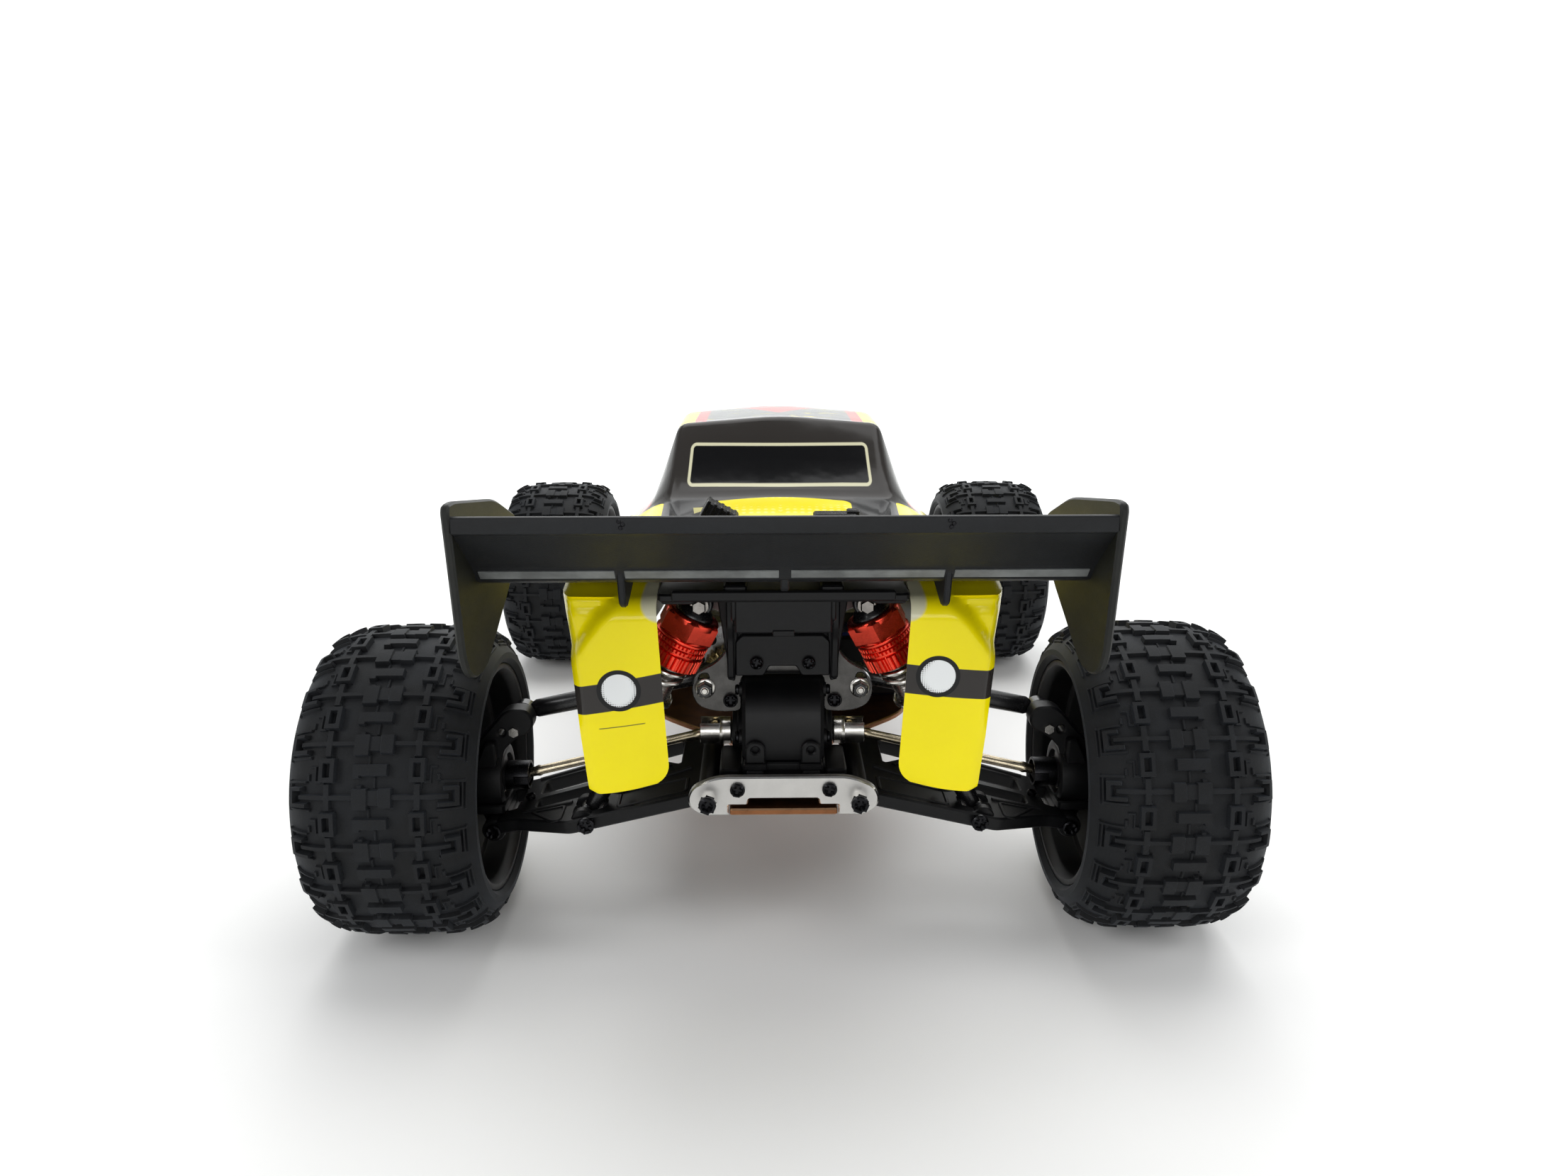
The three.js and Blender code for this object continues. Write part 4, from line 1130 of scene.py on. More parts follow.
# wing mount: ribbed post, box and top plate
def wingMountShape():
    trapezoid = [(-5.4, 84.4), (5.4, 84.4), (3.7, 87.0), (-3.7, 87.0)]
    outline = [(-16.1, 82), (-13.9, 82), (-13.9, 83.9), (13.9, 83.9), (13.9, 82), (16.1, 82), (16.1, 97.5),
               (18.6, 104), (18.6, 112.8), (-18.6, 112.8), (-18.6, 104), (-16.1, 97.5)]
    window = counterclockwise(trapezoid)
    face = [(-13.8, 84.1), (-5.6, 84.1), (-3.9, 87.1), (3.9, 87.1), (5.6, 84.1), (13.8, 84.1), (13.8, 94.6),
            (11.8, 96.6), (-11.8, 96.6), (-13.8, 94.6)]
    shapes = [
        plateXZ(outline, 9.5, 10.9, chamfer=0.3, holes=[eased(window, 0.3, 2, True)], ease=0.7),
        plateXZ(face, 10.4, 13.0, chamfer=0.35, ease=0.6),
    ]
    for side in (-1, 1):
        web = [(14.0, 82.2), (15.4, 82.6), (19.6, 112.6), (12, 112.6)]
        shapes.append(plateXZ([(x * side, z) for x, z in web], 9.6, 12.4, chamfer=0.35, ease=0.6))
        rib = [(9.8, 82.3), (13.6, 83.4), (15.4, 96), (18.5, 101), (18.5, 112.6), (9.8, 112.6)]
        bar = plateYZ(rib, 14.1, 16.2, chamfer=0.4, ease=1.2)
        shapes.append(bar.scaled(side))
        brace = [(15, 100), (29, 106), (29, 112.8), (15, 112.8)]
        shapes.append(plateYZ(brace, 12.6, 14.4, chamfer=0.35, ease=1.2).scaled(side))
        shapes.append(roundedBlock((9.9, 16.1), (14, 34), (114.7, 117.4), 1.0, 0.5).scaled(side))
        shapes.append(roundedBlock((24, 33), (9, 33), (111.9, 113), 1.2, 0.3).scaled(side))
    back = [(-13.4, 102.4), (13.4, 102.4), (13.4, 112.8), (-13.4, 112.8)]
    shapes.append(plateXZ(back, 26.6, 29.4, chamfer=0.5, ease=0.8))
    shapes.append(roundedBlock((-3, 3), (27, 29.8), (101.7, 103.4), 0.4, 0.2))
    shapes.append(plateXZ([(-13.4, 102.4), (13.4, 102.4), (13.4, 104), (-13.4, 104)], 14.5, 29.0,
                          chamfer=0.3, ease=0.4, steps=2))
    shapes.append(roundedBlock((-34, 34), (8, 34), (112.7, 115), 2.2, 0.5))
    shapes.append(roundedBlock((-30, 30), (33, 35.2), (113.2, 116.2), 0.8, 0.5))
    return joined(shapes)


# two screws through the frame's face
def wingMountScrews():
    return joined(screwHead(1.95, 1.2).aimed((side * 7.6, 13.0, 88.3), (0, 1, 0), (0.3, 0, 1))
                  for side in (-1, 1))


piece("wingPost", atEnd(wingMountShape(), "rear"), ["nylon"], "chassis", ["wing_mount"])
piece("wingPostScrews", atEnd(wingMountScrews(), "rear"), ["blackScrew"], "chassis")


# wing
wingSet = {
    "half": 77.0, "plateNear": 76.7, "plateFar": 78.8, "fin": 40.9,
    "blade": [(12, 118.2), (30, 119.0), (46, 121.6), (51, 123.6), (53.4, 127), (67.6, 139.0), (69, 139.6),
              (69, 143.4), (67.6, 143.6), (58, 134.0), (50, 128.2), (40, 124), (30, 121.8), (12, 120.4)],
    "bladeEase": [0.8, 6, 3, 0.8, 3, 1.2, 0.5, 0.5, 0.5, 5, 5, 5, 6, 0.8],
    "endPlate": [(5, 121.8), (5, 131), (27, 139.8), (64, 146.3), (68.6, 146.4), (69.6, 144.6), (67.6, 128),
                 (65.4, 108), (61.8, 102.2), (55, 99.5), (46, 99.5), (32.5, 106), (16, 113.4)],
    "endEase": [2, 2, 6, 3, 1.6, 1.6, 5, 5, 5, 5, 5, 5, 5],
    "finOutline": [(53, 127.5), (50, 116.8), (47, 115.2), (42, 116.2), (28, 119.6), (26, 121)],
    "strip": [(51.6, 124.3), (53.6, 126.6), (53.0, 127.2), (51.0, 125.0)],
}


# the blade's section carried across, with end plates, fins, ribs and light grey strips of painted highlight
def wingShape():
    w = wingSet
    blade = plateYZ(w["blade"], -w["half"], w["half"], chamfer=0.25, ease=w["bladeEase"], steps=5)
    plates = mirrored(plateYZ(w["endPlate"], w["plateNear"], w["plateFar"], chamfer=0.55,
                              finish=1, ease=w["endEase"], steps=5))
    fins = mirrored(plateYZ(w["finOutline"], w["fin"] - 0.9, w["fin"] + 0.9, chamfer=0.4, ease=1.6, steps=4))
    middle = plateYZ([(52, 126.5), (49.5, 120.8), (47, 119.4), (34, 118.6), (31, 120)], -1.1, 1.1,
                     chamfer=0.4, ease=1.2, steps=4)
    ribs = [mirrored(plateYZ([(64.9, 139.2), (66.0, 139.9), (64.0, 142.2), (62.6, 141)], near, far,
                             chamfer=0.2))
            for near, far in ((10, 10.8), (30, 30.8), (60, 60.8))]
    # painted highlight: light grey strips laid on the blade's bend, in stretches between the fins, tapering
    # out at both ends
    strips = [mirrored(plateYZ(w["strip"], near, far, chamfer=0.1, finish=2))
              for near, far in ((1.5, w["fin"] - 1.2), (w["fin"] + 1.2, 75.6))]
    return joined([blade, plates, fins, middle] + ribs + strips)


# the wing's two screws with their washers, and three dots a side
def wingMarks():
    parts = []
    for side in (-1, 1):
        x = side * 13
        parts.append(turned([(0, 4.2), (0.8, 4.2), (1.1, 3.8)], 28).aimed((x, 24, 120.6), (0, 0.05, 1)))
        parts.append(screwHead(2.2, 1.6).aimed((x, 24, 121.6), (0, 0.05, 1)))
        for dy, dz in ((0, 0), (1.1, 0.8), (-0.7, 1.5)):
            spot = turned([(0, 0.55), (0.22, 0.4)], 10)
            parts.append(spot.aimed((side * 38 + dy * 0.5, 69.0, 141 + dz), (0, 1, 0)))
    return joined(parts)


piece("highWing", atEnd(wingShape(), "rear"), ["wing", "wingEnd", "wingHighlight"], "chassis",
      ["wing"], 28)
piece("wingScrews", atEnd(wingMarks(), "rear"), ["blackScrew"], "chassis")


# chassis plate with its sunk screws
deckSet = {"height": (47, 49)}


# a mirrored outline seen from above
def deckShape():
    back, front = rearAxle - 28.4, frontAxle + 25.6
    half = [(0, back), (15.6, back), (15.6, rearAxle + 22), (30, rearAxle + 33), (46, rearAxle + 48),
            (46, 62), (30, 88),
            (15.6, frontAxle - 34), (15.6, front), (0, front)]
    radii = [0, 0.8, 8, 8, 12, 12, 8, 8, 0.8, 0]
    return plate(mirroredOutline(half, radii, 5), *deckSet["height"], chamfer=0.4, edge=1)


def deckScrews():
    spots = [(x, y) for x in (-9, 9) for y in (rearAxle - 14, rearAxle + 14, frontAxle - 14, frontAxle + 14)]
    spots += [(-34, -2), (-34, 28), (34, -40), (34, 20), (-20, -58), (-8, 106), (0, -20), (0, 40)]
    heads = [screwHead(2.4, 0.5, "hex").aimed((x, y, 46.95), (0, 0, -1), (1, 0, 0)) for x, y in spots]
    return joined(heads)


piece("deckPlate", deckShape(), ["copper", "copperEdge"], "chassis", ["chassis_plate"])
piece("deckScrews", deckScrews().at(0, 0, 0.35), ["blackScrew"], "chassis")
print("wing and deck made")


# hub carriers, knuckles and tie rods
rearHub, frontHub, kingpin = corner["rear"]["hub"], corner["front"]["hub"], corner["front"]["drive"]
trackSet = {"inner": (21, -26, 60), "outer": (82, -26, 50.8)}


# bearing ring, horn for the upper link, webs and the boss of the outer pin
def rearHubShape():
    axle = axleHeight - hubHeight(rearHub)
    horn = [(-2.4, axle - 4), (7.6, axle - 4), (7.2, axle + 11), (2.4, axle + 16), (-3.2, axle + 22.6),
            (-5.5, axle + 23.8), (-11, axle + 23.6), (-12.6, axle + 19.6), (-11.4, axle + 16.4),
            (-6.6, axle + 14.2),
            (-2.4, axle + 10)]
    bearing = turned([(-2.6, 8.6), (-2.2, 9.9), (7.4, 9.9), (7.9, 9.3), (7.9, 6.2), (5.5, 5.8), (5.5, 3.4),
                      (-1.2, 3.4), (-1.2, 6.6), (-2.6, 6.9)], 48, ring=True, ease=0.35)
    web = plate([(-3, -9.5), (7, -9.5), (7, 9.5), (-3, 9.5)], axle - 9, axle - 6, chamfer=0.4, ease=2)
    shapes = [
        alongX(bearing).at(0, 0, axle),
        plateXZ(horn, -0.8, 5.4, chamfer=0.6, holes=[circle(1.1, 16, (-2.6, axle + 16.4))], ease=2.2,
                steps=4),
        plateXZ([(-1, axle + 6), (5.5, axle + 6), (2, axle + 14), (-1, axle + 14)], -5.5, 8.6,
                chamfer=0.5, ease=1),
        barY(3.5, -6.2, 6.2),
        plateXZ([(-3.4, -1), (3.6, -1), (6, 5), (6.6, axle - 6), (-1.8, axle - 6), (-3, 4)], -6.1, 6.1,
                chamfer=0.5, ease=1),
        web,
    ]
    return joined(shapes).at(rearHub, 0, hubHeight(rearHub))


# bearing, axle end, the hexagon pin through the horn and the ball's screw
def rearHubMetal():
    bearing = alongX(turned([(-0.9, 3.3), (-0.9, 6.4), (0.6, 6.4), (0.6, 3.3)], 40, ring=True, ease=0.15))
    race = alongX(turned([(-1.1, 3.4), (-1.1, 4.3), (0, 4.3), (0, 3.4)], 32, ring=True, ease=0.12))
    balls = joined(
        turned([(-0.55, 0.2), (-0.3, 0.5), (0, 0.62), (0.3, 0.5), (0.55, 0.2)], 10).aimed(
            (-1.0, 5.35 * math.cos(a), 5.35 * math.sin(a)), (-1, 0, 0)) for a in np.arange(9) / 9 * turn)
    atAxle = (bearing + race + balls).at(rearHub, 0, axleHeight)
    pin = turned([(-1.2, 1.6), (6.2, 1.6)], 6, ease=0.15).aimed((81.6, 0, 63.6), (0, 1, 0))
    stem = turned([(-4, 0.8), (3, 0.8)], 14).aimed(linkBall("rear"), (0, 1, 0))
    ballTop = turned([(2.0, 1.2), (3.0, 1.5), (3.4, 1.1)], 16, ease=0.15).aimed(linkBall("rear"), (0, 1, 0))
    return atAxle + pin + stem + ballTop


# a wall with a ring, and two arms that hold the kingpins
def frontCarrierShape():
    axle = axleHeight - hubHeight(frontHub)
    upper, lower, reach = axle + 11.2, axle - 12, 11.0
    ring = turned([(-4.4, 6.2), (-4.4, 9.6), (-0.9, 9.6), (-0.9, 6.2)], 40, ring=True, ease=0.5)
    arm = eased([(-4.4, -6.1), (reach - 2, -6.1), (reach, -3), (reach, 3), (reach - 2, 6.1), (-4.4, 6.1)],
                1.8, 4, True)
    link = [(-4.4, upper + 3), (reach - 2, upper + 3), (5, upper + 14.4), (-2.6, upper + 14.6)]
    wall = [(-6.1, lower - 3), (6.1, lower - 3), (6.1, 4), (9.4, 6), (9.4, upper + 3.5), (-9.4, upper + 3.5),
            (-9.4, 6), (-6.1, 4)]
    shapes = [
        plateYZ(wall, -4.4, -0.9, chamfer=0.4, holes=[circle(5.7, 30, (0, axle + 1.2))], ease=1),
        alongX(ring).at(0, 0, axle + 1.2),
        barY(3.15, -6.1, 6.1),
        plate(arm, upper, upper + 3.6, chamfer=0.5),
        plate(arm, lower - 3.3, lower - 0.1, chamfer=0.5),
        plateXZ(link, -0.7, 5.3, chamfer=0.5, ease=1.6),
    ]
    return joined(shapes).at(frontHub, 0, hubHeight(frontHub))


def frontCarrierMetal():
    top = screwHead(2.1, 1.5, "hex").aimed((kingpin, 0, axleHeight + 14.8), (0, 0, 1), (1, 0, 0))
    foot = screwHead(2.1, 1.5, "hex").aimed((kingpin, 0, axleHeight - 15.3), (0, 0, -1), (1, 0, 0))
    stem = turned([(-4, 1.2), (3, 1.2)], 14).aimed(linkBall("front"), (0, 1, 0))
    return top + foot + stem


# barrel, two kingpins and the steering lever
def knuckleShape():
    barrel = turned([(-3.4, 6.1), (-3.4, 8.4), (7.8, 8.4), (8.4, 7.8), (8.4, 3.4), (5, 3.4), (5, 6.1)], 40,
                    ring=True,
                    ease=0.4)
    lever = eased([(-1, -5), (6, -5), (5, -14), (1, -28.8), (-6.4, -28.8), (-6.4, -23), (-1, -14)], 2.4, 4,
                  True)
    shapes = [
        alongX(barrel),
        turned([(7.5, 3.1), (10.8, 3.1)], 24, ease=0.3),
        turned([(-11.5, 3.1), (-7.5, 3.1)], 24, ease=0.3),
        plate(lever, -4.4, -1.6, chamfer=0.5),
    ]
    return joined(shapes).at(kingpin, 0, axleHeight)


def knuckleMetal():
    bearing = alongX(turned([(4.0, 3.4), (4.0, 5.9), (5.2, 5.9), (5.2, 3.4)], 32, ring=True, ease=0.15))
    bolt = turned([(-2.5, 1.3), (4.6, 1.3)], 14).at(-3.5, -26, -1)
    head = screwHead(2.0, 1.3, "hex").at(-3.5, -26, -1.6)
    return (bearing + bolt + head).at(kingpin, 0, axleHeight)


for side in sides:
    for end, shape, metalParts in (("rear", rearHubShape(), rearHubMetal()),
                                   ("front", frontCarrierShape(), frontCarrierMetal())):
        name = f"{end}_{side}_"
        piece(name + "upright", inCorner(shape, end, side), ["nylon"], name + "hub_carrier",
              [name + "hub_carrier"])
        piece(name + "uprightMetal", inCorner(metalParts, end, side), ["steel"], name + "hub_carrier")
    name = f"front_{side}_"
    piece(name + "steeringKnuckle", inCorner(knuckleShape(), "front", side), ["nylon"], name + "knuckle",
          [name + "knuckle"])
    piece(name + "knuckleMetal", inCorner(knuckleMetal(), "front", side), ["steel"], name + "knuckle")
    rod = linkShape(trackSet["inner"], trackSet["outer"])
    piece(name + "trackRod", inCorner(rod, "front", side), ["nylonGloss", "steel"], name + "tie_rod",
          [name + "tie_rod"])
print("hubs made")


# painted shell: stations are (distance ahead of the rear axle, points from edge to middle)
shellSet = {
    "wall": 1.1,
    "stations": [
        (8.5, [(61, 97), (61.6, 106), (56.8, 115.4), (44, 118.4), (30, 118.8), (0, 118.8)]),
        (26, [(61.6, 94), (63.6, 104), (58.8, 113.8), (45, 119.2), (34, 120.4), (0, 120.8)]),
        (27, [(58.8, 56.4), (64.6, 80), (59.8, 112.8), (45, 119.3), (34, 120.6), (0, 121.2)]),
        (48, [(57.8, 54.4), (65.4, 78), (60.8, 109.8), (45.5, 120.6), (36.8, 125.2), (0, 126.2)]),
        (56, [(57.5, 53.8), (65.6, 77), (60.8, 109), (45.0, 121), (36.4, 132.3), (0, 134)]),
        (69.6, [(57, 53.2), (65.6, 76), (60.8, 107.8), (44, 121.8), (35, 147.4), (0, 150.2)]),
        (76, [(57, 53.2), (65.6, 75.8), (60.8, 107.4), (44, 121.6), (35, 147.6), (0, 150.4)]),
        (108, [(56, 52.4), (65.6, 74), (60.8, 104.8), (44, 119.8), (35.6, 147.2), (0, 150.0)]),
        (142, [(55, 52.4), (63.6, 72), (57.8, 100.8), (43, 115.8), (34.4, 143.2), (0, 146.6)]),
        (176, [(52, 52.4), (57.6, 69), (51.8, 95.8), (40, 106.8), (30, 113.8), (0, 115.8)]),
        (210, [(44, 52.4), (48.6, 66), (43.8, 89.8), (35, 97.8), (26, 102.8), (0, 104.8)]),
        (222, [(36, 70), (39.6, 76), (37.8, 89.8), (32, 95.8), (24, 99.8), (0, 101.8)]),
        (251.6, [(28, 88.6), (29.8, 90), (28.8, 92), (25, 94.4), (18, 95.8), (0, 96.4)]),
    ],
    "easeAlong": [0.5, 0.5, 3, 5, 1.6, 4, 9, 9, 9, 9, 6], "easeAcross": [9, 7, 4, 3.2],
}


# a quadratic corner curve as in eased, but every corner keeps all its points so that rows stay alike
def easedRows(lines, radius, steps):
    before, middle, after = lines[:-2], lines[1:-1], lines[2:]
    toBefore, toAfter = before - middle, after - middle
    lengths = [np.linalg.norm(v, axis=-1, keepdims=True) for v in (toBefore, toAfter)]
    radius = np.broadcast_to(np.asarray(radius, float), len(middle)).reshape(-1, 1, 1)
    reach = np.minimum(radius, 0.46 * np.minimum(*lengths))
    first, last = middle + toBefore / lengths[0] * reach, middle + toAfter / lengths[1] * reach
    s = np.linspace(0, 1, steps + 1).reshape(1, -1, 1, 1)
    curve = (1 - s) ** 2 * first[:, None] + 2 * s * (1 - s) * middle[:, None] + s ** 2 * last[:, None]
    return np.concatenate([lines[:1], curve.reshape(-1, *lines.shape[1:]), lines[-1:]])


# straight points put between the rows so that paint edges and dents have something to follow
def denser(grid, parts):
    s = (np.arange(parts) / parts).reshape(1, -1, 1, 1)
    between = grid[:-1, None] * (1 - s) + grid[1:, None] * s
    return np.concatenate([between.reshape(-1, *grid.shape[1:]), grid[-1:]])


# the cross product of the grid's two gradients
def gridNormals(grid):
    return unit(np.cross(np.gradient(grid, axis=0), np.gradient(grid, axis=1)))


# a sheet with thickness: the outer grid, the same grid moved in along its normals, and strips round the rim
def walled(outer, wall, normals=None):
    normals = gridNormals(outer) if normals is None else normals
    inner = outer - normals * wall
    rows, cols = outer.shape[:2]
    shape = gridShape(outer) + gridShape(inner, finish=1).flipped()
    top = np.arange(rows * cols).reshape(rows, cols)
    under = top + rows * cols
    strips = []
    for a, b in ((top[0], under[0]), (top[:, -1], under[:, -1]), (top[-1][::-1], under[-1][::-1]),
                 (top[:, 0][::-1], under[:, 0][::-1])):
        strips.append(np.stack([a[1:], a[:-1], b[:-1], b[1:]], -1))
    return Shape(shape.points, shape.faces + [(np.concatenate(strips), 2)]).outward()


# 1 between low and high, with smooth-step sides of width soft
def bumpBetween(value, low, high, soft):
    rise = np.clip((value - low) / soft, 0, 1)
    fall = np.clip((high - value) / soft, 0, 1)
    return (rise * rise * (3 - 2 * rise)) * (fall * fall * (3 - 2 * fall))


# dents and swellings over the lofted sheet, as distances along its normal
def shellRelief(points):
    x, y, z = np.abs(points[..., 0]), points[..., 1] - rearAxle, points[..., 2]
    relief = -0.7 * bumpBetween(x, -1, 31.4, 0.8) * bumpBetween(z, 128.2, 141.8, 0.8) * (y < 70)
    relief -= 0.7 * bumpBetween(y, 78, 134, 1.5) * bumpBetween(z, 124, 140.5, 1.5)
    relief -= 0.7 * bumpBetween(x, -1, 29, 1.5) * bumpBetween(y, 147, 171, 1.5) * (z > 116)
    relief += 2.2 * bumpBetween(x, 7, 17, 3) * bumpBetween(y, 178, 216, 9) * (z > 92)
    relief -= 2.6 * bumpBetween(x, 25, 37, 3) * bumpBetween(y, 29, 46, 4) * (z > 112)
    relief -= 2.4 * bumpBetween(y, 92, 128, 7) * bumpBetween(z, 78, 98, 6) * (x > 50)
    relief += 1.2 * bumpBetween(x, -1, 22, 2) * bumpBetween(y, 12, 45, 3) * (z > 112)
    return relief[..., None]


# stations eased along the car, mirrored and eased across it, then dented along the normals
def shellSheet():
    stations = np.array([[(x, y + rearAxle, z) for x, z in points] for y, points in shellSet["stations"]])
    rows = denser(easedRows(stations, shellSet["easeAlong"], 4), 2)
    half = np.swapaxes(rows, 0, 1)
    whole = np.concatenate([half, (half * (-1, 1, 1))[-2::-1]])
    across = shellSet["easeAcross"]
    radii = across + [9] + across[::-1]
    grid = denser(easedRows(whole, radii, 4), 2)
    grid = np.swapaxes(grid, 0, 1)
    normals = gridNormals(grid)
    if normals[len(grid) // 2, grid.shape[1] // 2, 2] < 0:
        normals = -normals
    relief = shellRelief(grid)
    grid = grid + normals * relief
    return walled(grid, shellSet["wall"], normals)


flapSet = {"top": 113.9, "back": -36.6, "corner": 6.0, "foot": 57.4, "inner": (34.2, 31.6),
           "outer": (60.6, 54.4),
           "wall": 1.1}


# the flap: rows run down its path from the deck to the foot, columns from its inner to its outer side
def flapSheet():
    f = flapSet
    turnAt = f["back"] + f["corner"]
    arc = np.linspace(math.pi / 2, math.pi, 9)
    path = np.vstack([[(12, 118.6), (0, 118.4), (-9, 118), (-16, 117.2), (-22, 115.6), (-28, f["top"] + 0.5)],
                      np.stack([turnAt + f["corner"] * np.cos(arc),
                                f["top"] - f["corner"] + f["corner"] * np.sin(arc)], -1)])
    foot = np.stack([np.linspace(f["back"], f["back"] + 0.8, 40)[1:],
                     np.linspace(f["top"] - f["corner"], f["foot"], 40)[1:]], -1)
    path = np.vstack([path, foot])
    y, z = path[:, :1], path[:, 1:]
    t = np.concatenate([[0], np.linspace(0.02, 0.98, 34), [1]])[None, :]
    down = np.clip((f["top"] - z) / (f["top"] - f["foot"]), 0, 1)
    inner = f["inner"][0] + (f["inner"][1] - f["inner"][0]) * down
    outer = f["outer"][0] + (f["outer"][1] - f["outer"][0]) * down ** 0.8
    # rounded lower corners: the sides come in as the foot is reached
    near = np.clip((z - f["foot"]), 0, None)
    roundIn = 8 - np.sqrt(np.clip(64 - np.clip(8 - near, 0, 8) ** 2, 0, None))
    roundOut = 2 - np.sqrt(np.clip(4 - np.clip(2 - near, 0, 2) ** 2, 0, None))
    x = (inner + roundIn) * (1 - t) + (outer - roundOut) * t
    y, z = y + 0 * x, z + 1.9 * (1 - t) * np.clip((76 - z) / 18, 0, 1)
    # the scooped outer top: beyond a crease that falls outwards the sheet is pressed in
    crease = (x - 47.8) * 0.77 + (z - 108.2) * 0.64 + 0.02 * (x - 50) ** 2
    scoop = np.clip(crease / 3.2, 0, 1) ** 1.4 * np.clip((f["outer"][0] + 3 - x) / 5, 0,
                                                         1) * (z < f["top"] - 0.2)
    y = y + 4.2 * scoop * np.clip((f["top"] + 1.2 - z) / 4, 0, 1) * np.clip((z - 94) / 5, 0, 1)
    # the outer edge rolls forward, and the whole face is slightly crowned
    y = y + 6.5 * np.clip((t - 0.88) / 0.12, 0, 1) ** 2 * np.clip(1 - 1.3 * down, 0.1,
                                                                  1) + 0.8 * (2 * t - 1) ** 2
    grid = np.stack([x, y + rearAxle, z], -1)
    normals = gridNormals(grid)
    if normals[-10, 18, 1] > 0:
        normals = -normals
    return walled(grid, f["wall"], normals)


# distance from a rounded rectangle's edge in a plane, negative inside
def boxDistance(look, u, v, halfU, halfV, roundness):
    a, b = abs(u) - (halfU - roundness), abs(v) - (halfV - roundness)
    outside = (a.most(0) * a.most(0) + b.most(0) * b.most(0)).maths("SQRT")
    return outside + a.most(b).least(0) - roundness


# 1 under an edge and 0 over it
def below(distance, edge=0.0, soft=0.15):
    return 1 - distance.step(edge - soft, edge + soft)


paints = {"yellow": (0.9, 0.76, 0.002), "grey": (0.026, 0.023, 0.021), "black": (0.002, 0.002, 0.0025),
          "cream": (0.62, 0.6, 0.42), "red": (0.55, 0.02, 0.015), "silver": (0.11, 0.113, 0.12),
          "white": (0.78, 0.8, 0.8)}


